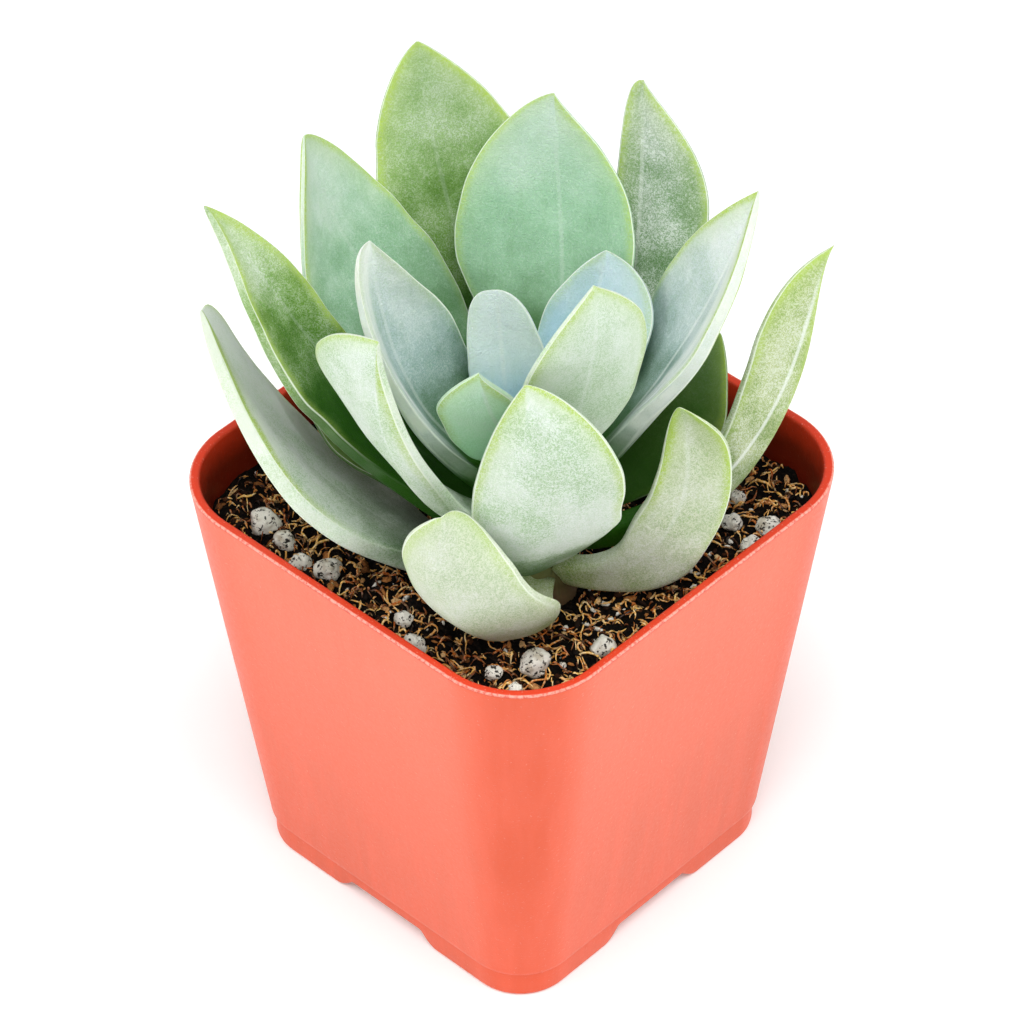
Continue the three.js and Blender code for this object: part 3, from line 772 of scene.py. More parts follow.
def scatter_chips(count, seed, size, flat, wall_gap, sunk):
    """Small lumps: rings of a rough egg, stretched three ways, turned about the upright and tilted, and
    set on the peat. Flat is the least and greatest share of its width that a chip is thick."""
    rng = np.random.default_rng(seed)
    tries = 2 * count
    x, y = rng.uniform(-CHIP_FIELD, CHIP_FIELD, (2, tries))
    clear = (wall_clearance(x, y) > wall_gap) & (from_stem(x, y) > STEM_CLEAR)
    x, y = x[clear][:count], y[clear][:count]
    kept = len(x)
    egg = ball_directions(CHIP_RINGS, CHIP_SIDES)
    lumps = rng.uniform(0.65, 1.25, (kept, len(egg), 1))
    wide = rng.uniform(*size, kept) / 2
    stretch = np.stack([wide * rng.uniform(0.9, 1.7, kept), wide * rng.uniform(0.5, 1.0, kept),
                        wide * rng.uniform(*flat, kept)], -1)
    shapes = egg[None] * lumps * stretch[:, None]
    tilt = rng.normal(0, 0.5, kept)[:, None]
    turn = rng.uniform(0, 2 * np.pi, kept)[:, None]
    tilted_y, tilted_z = turn_by(tilt, shapes[..., 1], shapes[..., 2])
    turned_x, turned_y = turn_by(turn, shapes[..., 0], tilted_y)
    lying = peat_height(x, y) + sunk * stretch[:, 2]
    points = np.stack([turned_x + x[:, None], turned_y + y[:, None], tilted_z + lying[:, None]], -1)
    return many_tubes(points, CHIP_RINGS, CHIP_SIDES, rng.uniform(0, 1, kept))


def bark_finish():
    """Bark from near black to dry tan, each chip its own shade, with a fibrous grain."""
    work = Finish("bark")
    colour = work.stops(work.measure("tint"), (0.0, tone(5, 3, 2)), (0.4, tone(22, 12, 6)),
                        (0.65, tone(66, 34, 14)), (0.84, tone(190, 124, 66)), (1.0, tone(244, 206, 148)))
    grain = work.noise(0.3, detail=4, rough=0.7, twist=0.4)
    colour = work.lay(colour, tone(22, 13, 8), work.span(grain, 0.4, 0.7, 0, 0.6))
    return work.done(colour, work.span(grain, 0.3, 0.7, 0.6, 0.9), work.bump(grain, 0.1),
                     Specular_IOR_Level=0.15)


def perlite_finish():
    """Chalky grey-white with a little brown dust in the hollows, and dark pores that are painted shade."""
    work = Finish("perlite")
    pores = work.noise(0.55, detail=3, rough=0.6, twist=0.3)
    dust = work.noise(1.6, detail=3)
    colour = work.blend(work.span(dust, 0.44, 0.68, 0, 0.6), tone(232, 229, 218), tone(150, 132, 98))
    # Painted shade: the pores are laid dark where the relief sinks them into pits
    colour = work.lay(colour, tone(30, 24, 17), work.span(pores, 0.565, 0.61, 0, 0.95))
    relief = work.bump(work.span(pores, 0.6, 0.68, 1, 0), 0.14)
    relief = work.bump(work.noise(0.18, detail=3), 0.06, relief)
    return work.done(colour, 0.9, relief, Specular_IOR_Level=0.3)


perlite = perlite_finish()
new_piece("bark_chips", *scatter_chips(1300, 5, (0.4, 1.6), (0.2, 0.5), 1.0, 0.1), "soil", bark_finish())
new_piece("perlite_crumbs", *scatter_chips(170, 6, (0.3, 1.0), (0.6, 0.9), 0.8, 0.5), "perlite", perlite)

# %% [markdown]
# The fourteen larger perlite grains are pieces of their own. Perlite is volcanic glass blown up by heat:
# lumps with open pores, broken in handling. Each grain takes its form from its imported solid. In every
# direction its radius is a weighted mean of the solid's corners, which rounds the facets off, and then
# swells, broken faces and pits are added.

# %% Round and pit the perlite grains
GRAIN_COUNT = 14
GRAIN_RINGS = 34
GRAIN_SIDES = 52
CORNER_PULL = 9.0
SWELLS, SWELL_RATE, SWELL_HEIGHT = 9, 3.4, 0.22
BREAKS, BREAK_REACH = 9, (0.78, 1.0)
PITS, PIT_SHARPNESS, PIT_DEPTH = 26, (40, 190), 0.26


def random_ways(rng, count):
    """Random directions, even all round."""
    ways = rng.normal(0, 1, (count, 3))
    return ways / np.linalg.norm(ways, axis=1)[:, None]


def grain_points(node, seed):
    """The solid's middle, plus each direction times a radius: the corners' own radii, weighted by how
    near each corner's direction is, times swells, cut back where a broken face is nearer, less round
    pits of several sizes."""
    corners = np.empty(len(node.data.vertices) * 3, np.float32)
    node.data.vertices.foreach_get("co", corners)
    corners = corners.reshape(-1, 3) / MM
    middle = (corners.min(0) + corners.max(0)) / 2
    reach = np.linalg.norm(corners - middle, axis=1)
    way = ball_directions(GRAIN_RINGS, GRAIN_SIDES)
    weight = np.exp(CORNER_PULL * (way @ ((corners - middle) / reach[:, None]).T - 1))
    radius = (weight * reach).sum(1) / weight.sum(1)
    rng = np.random.default_rng(seed)
    swell_ways = rng.normal(0, 1, (SWELLS, 3)) * SWELL_RATE
    swell = np.cos(way @ swell_ways.T + rng.uniform(0, 6, SWELLS)).mean(1)
    radius = radius * (1.03 + SWELL_HEIGHT * swell)
    facing = np.maximum(way @ random_ways(rng, BREAKS).T, 0.05)
    depth = reach.mean() * rng.uniform(*BREAK_REACH, BREAKS)
    radius = (radius ** -12 + ((depth / facing) ** -12).sum(1)) ** (-1 / 12)
    pit_way = way @ random_ways(rng, PITS).T
    sharp = rng.uniform(*PIT_SHARPNESS, PITS)
    pits = (np.exp(sharp * (pit_way - 1)) * (60 / sharp) ** 0.5).max(1)
    fine = patchy(way @ np.array([9.0, 2, 1]), way @ np.array([1.0, 8, 5]), 1.0, seed)
    return middle + way * (radius - PIT_DEPTH * pits + 0.05 * fine)[:, None]


for number in range(1, GRAIN_COUNT + 1):
    node_name = f"perlite_{number:02d}"
    shape = grain_points(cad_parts[node_name], 40 + number)
    grain = new_piece(f"grain_{number:02d}", shape, tube_faces(GRAIN_RINGS, GRAIN_SIDES), {}, "perlite",
                      perlite)
    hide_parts(node_name)

# %% [markdown]
# ## The stem
#
# The stem is short and mostly hidden by the leaf bases. It is a green, fleshy shoot with a slight ring at
# each old leaf seat, and corky and brown where it leaves the soil. It is a tube that leans and narrows,
# swollen by a wave at each seat.

# %% Make the stem
STEM_RINGS = 64
STEM_SIDES = 48
SEAT_SPACING, SEAT_SWELL = 2.6, 0.02
DOME_HEIGHT = 1.2


def stem_at(z):
    """Centre and radius of the stem at heights, by straight lines between its foot and its top."""
    k = (np.asarray(z, float) - STEM_FOOT[2]) / (STEM_TOP[2] - STEM_FOOT[2])
    centre = mix(STEM_FOOT, STEM_TOP, k[..., None])
    return centre, mix(STEM_FOOT_RADIUS, STEM_TOP_RADIUS, k)


def stem_rings():
    """Circles around the leaning axis, a little fuller at each seat, closing in a low dome at the top."""
    z = np.linspace(STEM_FOOT[2] - STEM_BURIED, STEM_TOP[2] - 0.02, STEM_RINGS)
    centre, radius = stem_at(z)
    angle = full_turn(STEM_SIDES)
    seats = SEAT_SWELL * np.cos(2 * np.pi * z[:, None] / SEAT_SPACING + angle)
    dome = np.sqrt(np.clip((STEM_TOP[2] - z) / DOME_HEIGHT, 0, 1))[:, None]
    reach = radius[:, None] * (1 - SEAT_SWELL + seats) * dome
    flat = centre[:, None, :2] + reach[..., None] * pointing(angle)
    return np.dstack([flat, np.broadcast_to(z[:, None], flat.shape[:2])])


def stem_finish():
    """Soft green above, corky brown near the soil, with fine lengthwise cracks."""
    work = Finish("stem_skin")
    x, y, z = (work.part(axis) for axis in "XYZ")
    cracks = work.noise(0.7, detail=4, place=work.vector(x, y, work.times(z, 0.25)))
    height = work.plus(z, work.times(cracks, 3 * MM))
    colour = work.stops(work.span(height, 55 * MM, 66 * MM), (0.0, tone(92, 72, 46)),
                        (0.4, tone(110, 112, 62)), (1.0, tone(126, 160, 98)))
    colour = work.lay(colour, tone(70, 66, 36), work.span(cracks, 0.55, 0.7, 0, 0.5))
    return work.done(colour, 0.6, work.bump(cracks, 0.15), Subsurface_Weight=0.1, Subsurface_Scale=0.001)


tube = closed_tube(stem_rings(), stem_at(STEM_FOOT[2] - STEM_BURIED)[0], STEM_TOP, {})
stem = new_piece("green_stem", *tube, "stem", stem_finish())
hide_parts("stem")

# %% [markdown]
# ## The leaves
#
# A leaf of this plant is a thick, flat, spoon-like blade with a narrow base. Its upper face is nearly
# flat, its underside fuller, and its margin a thin round edge. The whole blade is one formula of two
# parameters: how far along the midrib, and how far round the section. The midrib is a path that turns,
# rises and rolls from base to tip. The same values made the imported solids, so each leaf lies exactly
# where its solid is, only smoother, with a furrow, a keel and a slightly wavy margin.

# %% Values of the leaves
# Values that most leaves share
USUAL_LEAF = dict(thick=3, cup=0.15, bend=1, hook=0, full=3)
# The four numbers of each side: greatest half width, where that is, how blunt the tip is, how necked the base
LEAVES = {
    "back_left_tall": dict(
        up=56.2, turn=(141, 174), rise=(11, 80), roll=(14, -25), long=67.5, left=(9, 0.6, 0.8, 2),
        right=(13.4, 0.58, 0.85, 3.2), cup=-0.15, bend=0.8, hook=-20, shade="green",
        skin=dict(flesh="grass", grown=(0.4, 0.9), bloom=(0.6, 1.0, 0.25), mealy=0.7, rim=0.6, flank=0.3,
                  rib=0.1)),
    "back_centre": dict(
        up=69.5, turn=(113, 151), rise=(11, 72), roll=(-9, -17), long=48, left=(13, 0.62, 0.7, 2.6),
        right=(9.4, 0.62, 1.15, 2.4), hook=-15, shade="mint",
        skin=dict(flesh="mint", grown=(0.2, 0.75), bloom=(0.65, 1.0, 0.4), mealy=0.35, rim=0.5, flank=0.4,
                  rib=0.12)),
    "left_back": dict(
        up=66, turn=(157, 219), rise=(9, 86), roll=(-2, -9), long=55, left=(11.2, 0.66, 1, 3),
        right=(9.8, 0.6, 0.75, 2.7), bend=1.15, shade="mint",
        skin=dict(flesh="mint", grown=(0.2, 0.8), bloom=(0.6, 0.95, 0.5), mealy=0.5, rim=0.6, flank=0.4,
                  rib=0.1)),
    "right_back": dict(
        up=63.5, turn=(95, 141), rise=(21, 72), roll=(-5, -7), long=55.5, left=(3.6, 0.52, 0.35, 2.1),
        right=(8.4, 0.7, 1.25, 1.1), cup=0, bend=1.1, hook=-10, shade="mint",
        skin=dict(flesh="sage", grown=(0.15, 0.75), bloom=(0.6, 1.0, 0.3), mealy=0.9, rim=0.5, flank=0.3)),
    "right_folded": dict(
        up=66.5, turn=(31, 85), rise=(49, 69), roll=(-7, -21), long=51, thick=3.2,
        left=(10.8, 0.56, 1, 2.6), right=(6.8, 0.62, 1.6, 5.3), cup=0.2, bend=0.95, full=6, shade="blue",
        skin=dict(flesh="frost", grown=(0.2, 0.65), bloom=(0.5, 0.9, 0.8), mealy=0.6, rim=0.7, flank=0.5,
                  frosted=(0, 4.5), rib=0.4)),
    "far_right": dict(
        up=62, turn=(36, 132), rise=(-9, 61), roll=(-67, -137), long=53, left=(3.6, 0.42, 1.6, 2.5),
        right=(6.4, 0.72, 1.3, 6), cup=-0.1, bend=0.6, hook=-70, shade="pale",
        skin=dict(flesh="straw", grown=(0.2, 0.65), bloom=(0.3, 1.0, 0.0), mealy=1.0, rim=0.6, flank=0.3,
                  rib=0.6)),
    "right_front_low": dict(
        up=58.5, turn=(14, 89), rise=(-20, 105), roll=(-73, -121), long=36, left=(6, 0.38, 0.3, 2.7),
        right=(4, 0.48, 0.55, 6), cup=-0.1, bend=0.55, hook=-55, shade="pale",
        skin=dict(flesh="straw", grown=(-0.5, 0.0), bloom=(0.0, 0.4, 0.35), mealy=0.9, rim=0.8, flank=0.4)),
    "front_left_low": dict(
        up=57, turn=(307, 224), rise=(-7, 101), roll=(-17, 73), long=40, left=(8.2, 0.4, 0.35, 2.4),
        right=(7.2, 0.42, 0.65, 2.3), cup=0.5, bend=0.85, hook=45, shade="pale",
        skin=dict(flesh="straw", grown=(-0.3, 0.15), bloom=(0.2, 0.6, 0.5), mealy=0.8, rim=0.4, flank=0.3,
                  rib=0)),
    "front_centre": dict(
        up=61.5, turn=(312, 307), rise=(12, 105), roll=(28, -16), long=44.5, left=(11.4, 0.68, 0.7, 0.5),
        right=(6.4, 0.54, 0.9, 4.5), cup=0.1, bend=0.6, hook=15, shade="pale",
        skin=dict(flesh="pale", grown=(0.05, 0.45), bloom=(0.3, 0.6, 0.25), mealy=1.0, rim=0.6, flank=0.4,
                  rib=0)),
    "inner_right_front": dict(
        up=71.5, turn=(-22, -1), rise=(51, 90), roll=(-25, -3), long=42.5, thick=2.8,
        left=(8.8, 0.7, 1.1, 1.8), right=(7.6, 0.68, 1, 2.5), cup=0.1, shade="pale",
        skin=dict(flesh="pale", grown=(0.0, 0.35), bloom=(0.5, 0.9, 0.3), mealy=0.7, rim=0.5, flank=0.5)),
    "inner_right_back": dict(
        up=73, turn=(86, 97), rise=(34, 83), roll=(-14, 15), long=26.5, thick=2.8, left=(6, 0.5, 0.85, 0.9),
        right=(9, 0.64, 0.45, 1.4), cup=0.25, bend=0.9, shade="blue",
        skin=dict(flesh="blue", grown=(0.1, 0.55), bloom=(0.5, 1.0, 0.4), mealy=0.4, rim=0.3, flank=0.8)),
    "inner_oval": dict(
        up=76, turn=(176, 157), rise=(84, 84), roll=(-25, -32), long=19.5, thick=2.4,
        left=(4.2, 0.48, 0.25, 1.7), right=(5.2, 0.4, 0.45, 1.4), shade="blue",
        skin=dict(flesh="blue", grown=(-0.2, 0.2), bloom=(0.1, 0.7, 0.7), mealy=0.35, rim=0.1, flank=0.4)),
    "inner_front": dict(
        up=75.5, turn=(300, 292), rise=(46, 69), roll=(45, 16), long=27, thick=2.4,
        left=(3.8, 0.52, 1.25, 0.6), right=(6, 0.74, 1.15, 0.6), cup=-0.1, bend=0.85, shade="mint",
        skin=dict(flesh="fresh", grown=(-0.4, 0.0), bloom=(0.2, 0.9, 0.35), mealy=0.5, rim=0.5, flank=0.5)),
    "inner_left": dict(
        up=68.5, turn=(255, 145), rise=(44, 80), roll=(-9, 19), long=41.5, thick=3.2,
        left=(4.6, 0.5, 0.3, 0.5), right=(9, 0.46, 1, 2.8), cup=0.45, bend=0.9, full=6, shade="blue",
        skin=dict(flesh="frost", grown=(0.2, 0.7), bloom=(0.6, 1.0, 0.7), mealy=0.6, rim=0.2, flank=0.95,
                  frosted=(2.8, 0))),
    "left_front": dict(
        up=64.8, turn=(275, 246), rise=(32, 94), roll=(-17, 25), long=48, thick=2.9,
        left=(3.6, 0.48, 1.55, 0.8), right=(13.8, 0.74, 0.9, 3.2), shade="pale",
        skin=dict(flesh="pale", grown=(0.1, 0.45), bloom=(0.3, 0.8, 0.2), mealy=0.9, rim=0.5, flank=0.6)),
    "far_left_upper": dict(
        up=61.9, turn=(208, 204), rise=(30, 63), roll=(0, -11), long=57, thick=3.2,
        left=(8.8, 0.54, 1.6, 0.5), right=(4.8, 0.68, 1, 2.6), cup=0.2, bend=0.7, hook=30, full=6,
        shade="green",
        skin=dict(flesh="grass", grown=(0.42, 0.9), bloom=(0.65, 0.95, 0.35), mealy=0.9, rim=0.6,
                  flank=0.15, rib=0.08)),
    "far_left_lower": dict(
        up=56.3, turn=(232, 170), rise=(15, 52), roll=(5, 50), long=52, thick=3.6, left=(8, 0.5, 1.6, 3),
        right=(15, 0.36, 0.25, 3.9), cup=-0.1, bend=0.7, full=8, shade="green",
        skin=dict(flesh="pale", grown=(0.1, 0.5), bloom=(0.4, 0.75, 0.8), mealy=0.9, rim=1.0, flank=0.8,
                  powder=0.3)),
    # The two low leaves at the back lie in shade: their deep green reaches far up as painted shade
    "low_left_back": dict(
        up=58.4, turn=(187, 197), rise=(16, 39), roll=(1, -7), long=35.5, thick=2.7,
        left=(8.2, 0.66, 0.95, 1.8), right=(7.2, 0.6, 0.8, 1.8), cup=0.35, shade="green",
        skin=dict(flesh="grass", grown=(0.3, 1.2), bloom=(0.6, 1.0, 0.2), mealy=0.5, rim=0.2, flank=0.1)),
    "low_right_back": dict(
        up=59.2, turn=(112, 45), rise=(4, 56), roll=(49, 46), long=35, thick=2.8,
        left=(6.8, 0.62, 0.85, 1.8), right=(9.8, 0.6, 0.8, 1.8), shade="green",
        skin=dict(flesh="grass", grown=(0.2, 1.9), bloom=(0.6, 1.0, 0.05), mealy=0.4, rim=0.5, flank=0.1)),
}
LEAF_STATIONS = 100
LEAF_SIDES = 64
LEAF_BASE_HALF_WIDTH = 2.3
MIDRIB_STEPS = 60
TIP_THINNING = 0.55
UPPER_SHARE, LOWER_SHARE = 0.8, 1.2
FURROW_DEPTH, KEEL_DEPTH, FURROW_HALF_WIDTH = 0.28, 0.22, 1.5
MARGIN_RIPPLE, RIPPLE_SIZE = 0.025, 3.5
DENT_DEPTH, DENT_SIZE = 0.13, 4.5
WAVE_HEIGHT = 0.22


# %% The leaf's formula
def leaf_axes(leaf, s):
    """The directions along the midrib, to the blade's left and out of its upper face at shares s of the
    way from base to tip. Turn and roll change evenly, the rise with s to the power bend, and the hook
    turns only the last of the tip, with s to the power 8."""
    turn = np.radians(mix(*leaf["turn"], s) + leaf["hook"] * s ** 8)
    rise = np.radians(mix(*leaf["rise"], s ** leaf["bend"]))
    roll = np.radians(mix(*leaf["roll"], s))[:, None]
    along = np.stack([np.cos(rise) * np.cos(turn), np.cos(rise) * np.sin(turn), np.sin(rise)], -1)
    level = np.stack([-np.sin(turn), np.cos(turn), 0 * turn], -1)
    left = level * np.cos(roll) + np.cross(along, level) * np.sin(roll)
    return along, left, np.cross(along, left)


def leaf_midrib(leaf, s):
    """Places on the midrib: it starts just inside the stem's skin and adds up short steps along its
    changing direction."""
    along = leaf_axes(leaf, (np.arange(MIDRIB_STEPS) + 0.5) / MIDRIB_STEPS)[0]
    way = np.vstack([np.zeros(3), along.cumsum(0)]) * leaf["long"] / MIDRIB_STEPS
    centre, radius = stem_at(leaf["up"])
    turn = np.radians(leaf["turn"][0])
    start = centre + leaf.get("from_axis", radius - 1) * np.array([np.cos(turn), np.sin(turn), 0])
    steps = np.arange(MIDRIB_STEPS + 1)
    return start + np.stack([np.interp(s * MIDRIB_STEPS, steps, way[:, axis]) for axis in range(3)], -1)


def half_width(side, base, s):
    """Half the blade's width on one side: a quarter sine from the base to the widest place, to the power
    neck, and an arc from there to the tip."""
    widest, place, blunt, neck = side
    swelling = base + (widest - base) * np.sin(np.pi / 2 * np.clip(s / place, 0, 1)) ** neck
    closing = widest * np.clip(1 - (np.clip(s - place, 0, 1) / (1 - place)) ** 2, 0, 1) ** blunt
    return np.where(s < place, swelling, closing)


def leaf_surface(leaf, seed, base):
    """The blade: at each station a circle whose points are pushed out towards the corners of a square,
    flattened to the leaf's width and thickness, fuller below, with sides that lift by the cup. A furrow
    sinks the upper middle, a keel fills the lower middle, the margins wave and both faces dent a little.
    Each point keeps what the finish needs to know."""
    rng = np.random.default_rng(seed)
    s = 1 - (1 - np.arange(LEAF_STATIONS) / LEAF_STATIONS) ** 1.5
    along, left, upper = leaf_axes(leaf, s)
    half = (leaf["thick"] / 2 * (1 - TIP_THINNING * s) * np.sqrt(1 - s ** 10))[:, None]
    angle = full_turn(LEAF_SIDES)
    full = leaf["full"]
    push = (np.abs(np.cos(angle)) ** full + np.abs(np.sin(angle)) ** full) ** (-1 / full)
    across, high = push * np.cos(angle), push * np.sin(angle)
    sides = [half_width(leaf[side], base, s)[:, None] for side in ("left", "right")]
    width = np.where(across >= 0, *sides)
    across_mm, along_mm = across * width, s[:, None] * leaf["long"] + 0 * width
    ripple = patchy(along_mm, 10 * np.sign(across), RIPPLE_SIZE, seed) * np.abs(across) ** 4
    fade = np.sin(np.pi * s[:, None]) ** 0.5
    middle = np.exp(-(across_mm / FURROW_HALF_WIDTH) ** 2) * np.clip(2.2 * s[:, None], 0, 1) * fade
    dents = patchy(across_mm + 40, along_mm + 9 * np.sign(high), DENT_SIZE, seed + 50) * fade
    sunk = middle * np.where(high > 0, FURROW_DEPTH, KEEL_DEPTH) + DENT_DEPTH * dents
    depth = half * np.where(high > 0, UPPER_SHARE, LOWER_SHARE) * high - sunk * np.abs(high) ** 3
    wave = np.sin(2 * np.pi * (rng.uniform(1.6, 2.6) * s[:, None] + rng.uniform(0, 1) * np.sign(across)))
    lift = leaf["cup"] * np.abs(across) ** 1.6 * width
    lift = lift + WAVE_HEIGHT * wave * np.abs(across) ** 3 * np.sin(np.pi * s[:, None])
    sideways = across_mm * (1 + MARGIN_RIPPLE * ripple)
    points = (leaf_midrib(leaf, s)[:, None] + left[:, None] * sideways[..., None]
              + upper[:, None] * (lift + depth)[..., None])
    lean = np.arctan2(np.abs(high) ** (full - 1) / half, np.abs(across) ** (full - 1) / width)
    fields = {
        "along": (s[:, None] + 0 * width, (0, 1)),
        "along_mm": (along_mm, (0, leaf["long"])),
        "across_mm": (across_mm, (0, 0)),
        "edge_mm": (width - np.abs(across_mm), (base, 0)),
        "flank": (1 - smooth_step(0.5, 1.1, lean), (0, 1)),
    }
    measures = {key: np.append(values.ravel(), ends) for key, (values, ends) in fields.items()}
    return closed_tube(points, leaf_midrib(leaf, np.zeros(1)), leaf_midrib(leaf, np.ones(1)), measures)


# %% [markdown]
# What makes these leaves is their skin. Green flesh shows through a mealy, bluish-white bloom, which is
# thick on the young inner leaves and rubbed thin towards the base, where the deep green is partly painted
# shade. Near the margin the flesh turns yellow-green with a painted highlight on the very edge, and the
# flank of the leaf is pale and scratched along its length, partly painted light. One function makes the
# finish of every leaf from a few tones, and each leaf has the look of its age and place, with the shade
# of its place painted in.

# %% Tones of the leaves
FLESH = {
    "grass": tone(138, 180, 88),
    "mint": tone(155, 198, 164),
    "fresh": tone(186, 242, 200),
    "sage": tone(132, 160, 125),
    "frost": tone(168, 192, 192),
    "blue": tone(174, 212, 228),
    "pale": tone(206, 224, 202),
    "straw": tone(187, 200, 148),
}
DEEP_GREEN = tone(38, 88, 4)
BLOOM = tone(240, 245, 242)
FLECK_SIZE, MEAL_SIZE, CLOUD_SIZE = 0.32, 0.36, 6.0
YELLOW_GREEN = tone(176, 204, 92)
FLANK_PALE = tone(222, 230, 214)
EDGE_HIGHLIGHT = tone(240, 249, 232)
RUBBED = (0.56, 0.72, 0.46, 1.0)


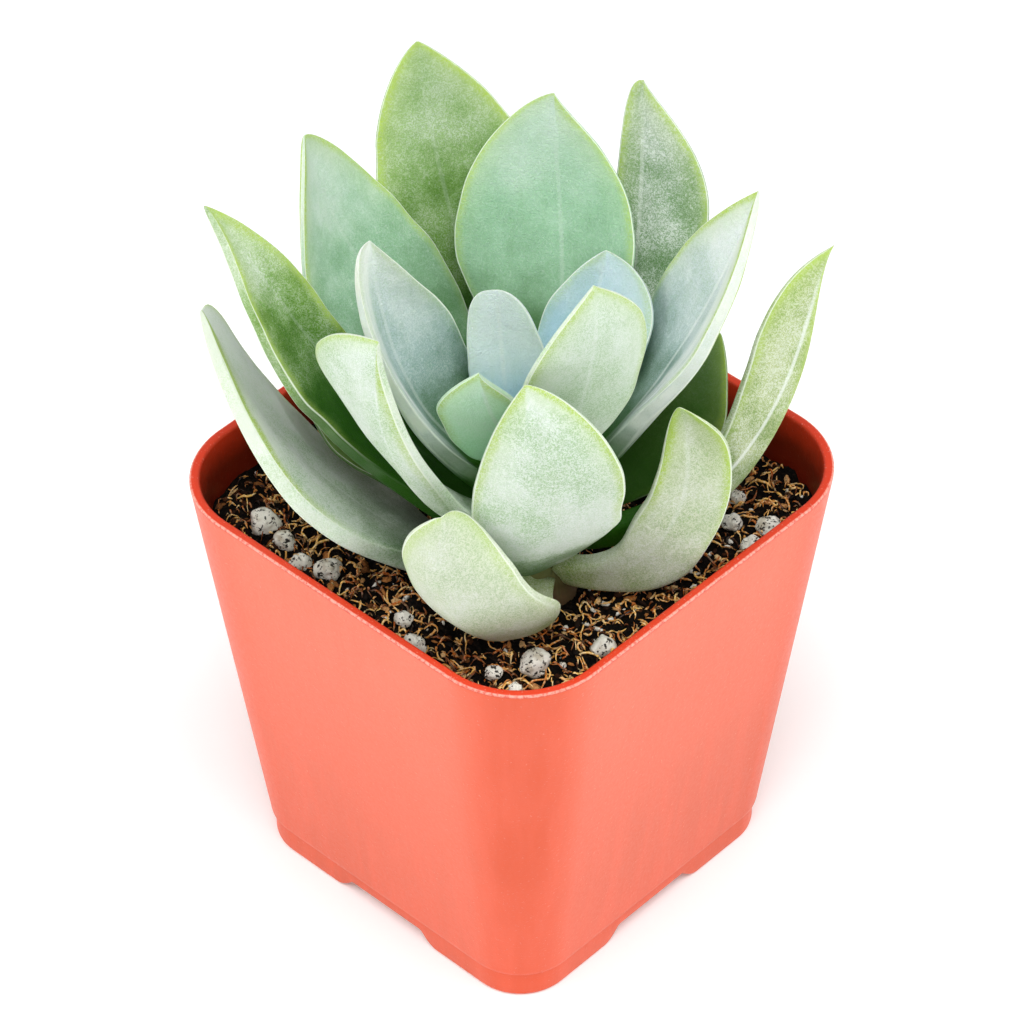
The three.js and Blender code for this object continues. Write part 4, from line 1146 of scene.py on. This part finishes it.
def leaf_finish(name, flesh, grown, bloom, mealy, rim, flank, frosted=(0, 0), rib=0.25, powder=0.0):
    """The flesh is deep green at the base, partly its own colour and partly painted shade, and reaches its
    own tone over a given stretch along the leaf. Mealy bloom gathers over the stretch that bloom gives, up to
    a cover, in wormy grains and soft patches. A yellow-green band follows the margin, with a painted
    highlight as a pale line on its very edge, and another pale line on the rib. The flanks are pale and
    scratched, partly painted light. A pale strip on each side, as wide as given, is thick bloom and partly
    painted light. Powder is how much the bloom brightens where the face is seen at a low angle."""
    work = Finish(name)
    along = work.measure("along")
    edge = work.measure("edge_mm")
    turned = work.measure("flank")
    across_mm, along_mm = work.measure("across_mm"), work.measure("along_mm")
    streaks = work.noise(1.3, detail=4, unit=1.0,
                         place=work.vector(across_mm, work.times(along_mm, 0.12), 0.0))
    clouds = work.noise(CLOUD_SIZE, detail=3)
    grains = work.noise(MEAL_SIZE, detail=2, rough=0.6, twist=2.2)
    flecks = work.noise(FLECK_SIZE, detail=2, rough=0.6, twist=0.8)
    scratches = work.noise(0.45, detail=3, unit=1.0,
                           place=work.vector(work.times(edge, 3.0), work.times(along_mm, 0.05), 0.0))
    clouded = work.maths("SUBTRACT", clouds, 0.5)
    # Both changes along the leaf wander a little with the clouds
    place = work.plus(along, work.span(clouds, 0.25, 0.75, -0.06, 0.06))
    # Deep green at the base: partly the flesh's own colour, partly painted shade
    flesh = work.blend(work.span(place, *grown), DEEP_GREEN, FLESH[flesh])
    bloom_from, bloom_full, cover = bloom
    flesh = work.lay(flesh, BLOOM, work.span(place, bloom_from, bloom_full, 0.0, cover))
    pale = work.blend(work.span(place, *grown, 0.0, 0.5), flesh, BLOOM)
    rubbed = work.span(place, bloom_from, bloom_full, 1.0, 1 - 0.6 * cover)
    deep = work.blend(rubbed, flesh, RUBBED, "MULTIPLY")
    # Grains and patches pull the flesh both ways, so that its mean tone stays
    grain = work.span(grains, 0.44, 0.56, -0.65, 0.65)
    patch = work.span(clouds, 0.3, 0.7, -0.5 * mealy, 0.5 * mealy)
    pull = work.times(work.plus(grain, patch), mealy)
    colour = work.blend(work.span(pull, 0.0, 1.0), flesh, pale)
    colour = work.lay(colour, deep, work.span(pull, 0.0, -1.0))
    colour = work.lay(colour, deep, work.span(streaks, 0.45, 0.72, 0, 0.14))
    # Pale strips along the sides: thick bloom, and partly painted light on the side that faces the lamps
    for wide, side in zip(frosted, (1, -1)):
        if wide:
            inward = work.plus(edge, work.times(clouded, -0.8))
            strip = work.times(work.span(inward, 0.6 * wide, wide, 1.0, 0.0),
                               work.span(work.times(across_mm, side), 0.0, 0.3))
            worn_lit_strip = work.times(strip, work.span(scratches, 0.36, 0.6, 0.9, 0.5))
            colour = work.lay(colour, BLOOM, worn_lit_strip, work.span(along, 0.2, 0.5))
    colour = work.lay(colour, pale, work.span(flecks, 0.61, 0.67, 0, 0.7 * mealy))
    # The margin band follows the edge, mottled, and wider in places
    wander = work.plus(edge, work.times(clouded, -1.6))
    band = work.times(work.span(wander, 0.2, 1.5, rim, 0.0), work.span(grains, 0.35, 0.65, 1.3, 0.4))
    glow = work.times(work.span(wander, 0.5, 4.5, 0.45 * rim, 0.0), work.span(along, 0.5, 0.95))
    band = work.plus(band, glow)
    band = work.times(band, work.span(turned, 0.2, 0.7, 1.0, 0.15))
    colour = work.lay(colour, YELLOW_GREEN, band, work.span(along, 0.3, 0.7))
    vein = work.span(work.maths("ABSOLUTE", across_mm), 0.1, 0.4, rib, 0.0)
    vein = work.times(vein, work.span(along, 0.8, 0.98, 1, 0))
    colour = work.lay(colour, BLOOM, vein, work.span(along, 0.15, 0.5))
    # Pale, scratched flanks: partly the skin's own wax, partly painted light on the thick margins
    scratched = work.span(scratches, 0.38, 0.6, flank, 0.1 * flank)
    sides = work.times(turned, work.span(along, 0.1, 0.6))
    colour = work.lay(colour, FLANK_PALE, sides, scratched)
    # Painted highlight: a pale line runs where the face turns over into the flank
    line = work.times(work.span(turned, 0.05, 0.35), work.span(turned, 0.45, 0.95, 0.85, 0.0))
    colour = work.lay(colour, EDGE_HIGHLIGHT, line, work.span(along, 0.3, 0.6))
    relief = work.bump(grains, 0.15)
    relief = work.bump(work.noise(1.4, detail=2), 0.07, relief)
    relief = work.bump(streaks, 0.03, relief)
    return work.done(colour, work.span(grains, 0.3, 0.7, 0.46, 0.62), relief, Specular_IOR_Level=0.15,
                     Sheen_Weight=powder, Subsurface_Weight=0.12, Subsurface_Radius=(0.7, 1.0, 0.4),
                     Subsurface_Scale=0.0015)


# %% Make the leaves
for seed, (leaf_name, leaf) in enumerate(LEAVES.items(), 100):
    surface = leaf_surface({**USUAL_LEAF, **leaf}, seed, LEAF_BASE_HALF_WIDTH)
    skin = leaf_finish(f"skin_{leaf_name}", **leaf["skin"])
    blade = new_piece(f"blade_{leaf_name}", *surface, f"leaf_{leaf['shade']}", skin)
    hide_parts(f"leaf_{leaf_name}")

# %% [markdown]
# The growing point is a pair of tiny leaves that still stand upright in the heart of the rosette. They
# are the same formula at a tenth of the size, joined in one piece.

# %% Make the bud
BUD_LEAF = dict(up=77.8, roll=(0, 0), thick=1.6, from_axis=1, cup=0.1, bend=1, hook=0, full=2)
BUD_LEAVES = (
    dict(turn=(-15, -5), rise=(70, 82), long=6, left=(1.5, 0.5, 0.6, 1), right=(1.5, 0.5, 0.6, 1)),
    dict(turn=(-80, -75), rise=(66, 80), long=5, left=(1.4, 0.5, 0.6, 1), right=(1.4, 0.5, 0.6, 1)),
)
BUD_BASE_HALF_WIDTH = 1
bud_parts = [leaf_surface({**BUD_LEAF, **leaf}, 130 + number, BUD_BASE_HALF_WIDTH)
             for number, leaf in enumerate(BUD_LEAVES)]
bud_points = np.vstack([points for points, _, _ in bud_parts])
bud_faces = [block + number * len(points) for number, (points, faces, _) in enumerate(bud_parts)
             for block in faces]
bud_measures = {key: np.concatenate([measures[key] for _, _, measures in bud_parts])
                for key in bud_parts[0][2]}
bud_skin = leaf_finish("skin_bud", "blue", (0.1, 0.5), (0.4, 0.9, 0.5), 0.3, 0.2, 0.3)
bud = new_piece("heart_bud", bud_points, bud_faces, bud_measures, "leaf_green", bud_skin)
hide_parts("bud")
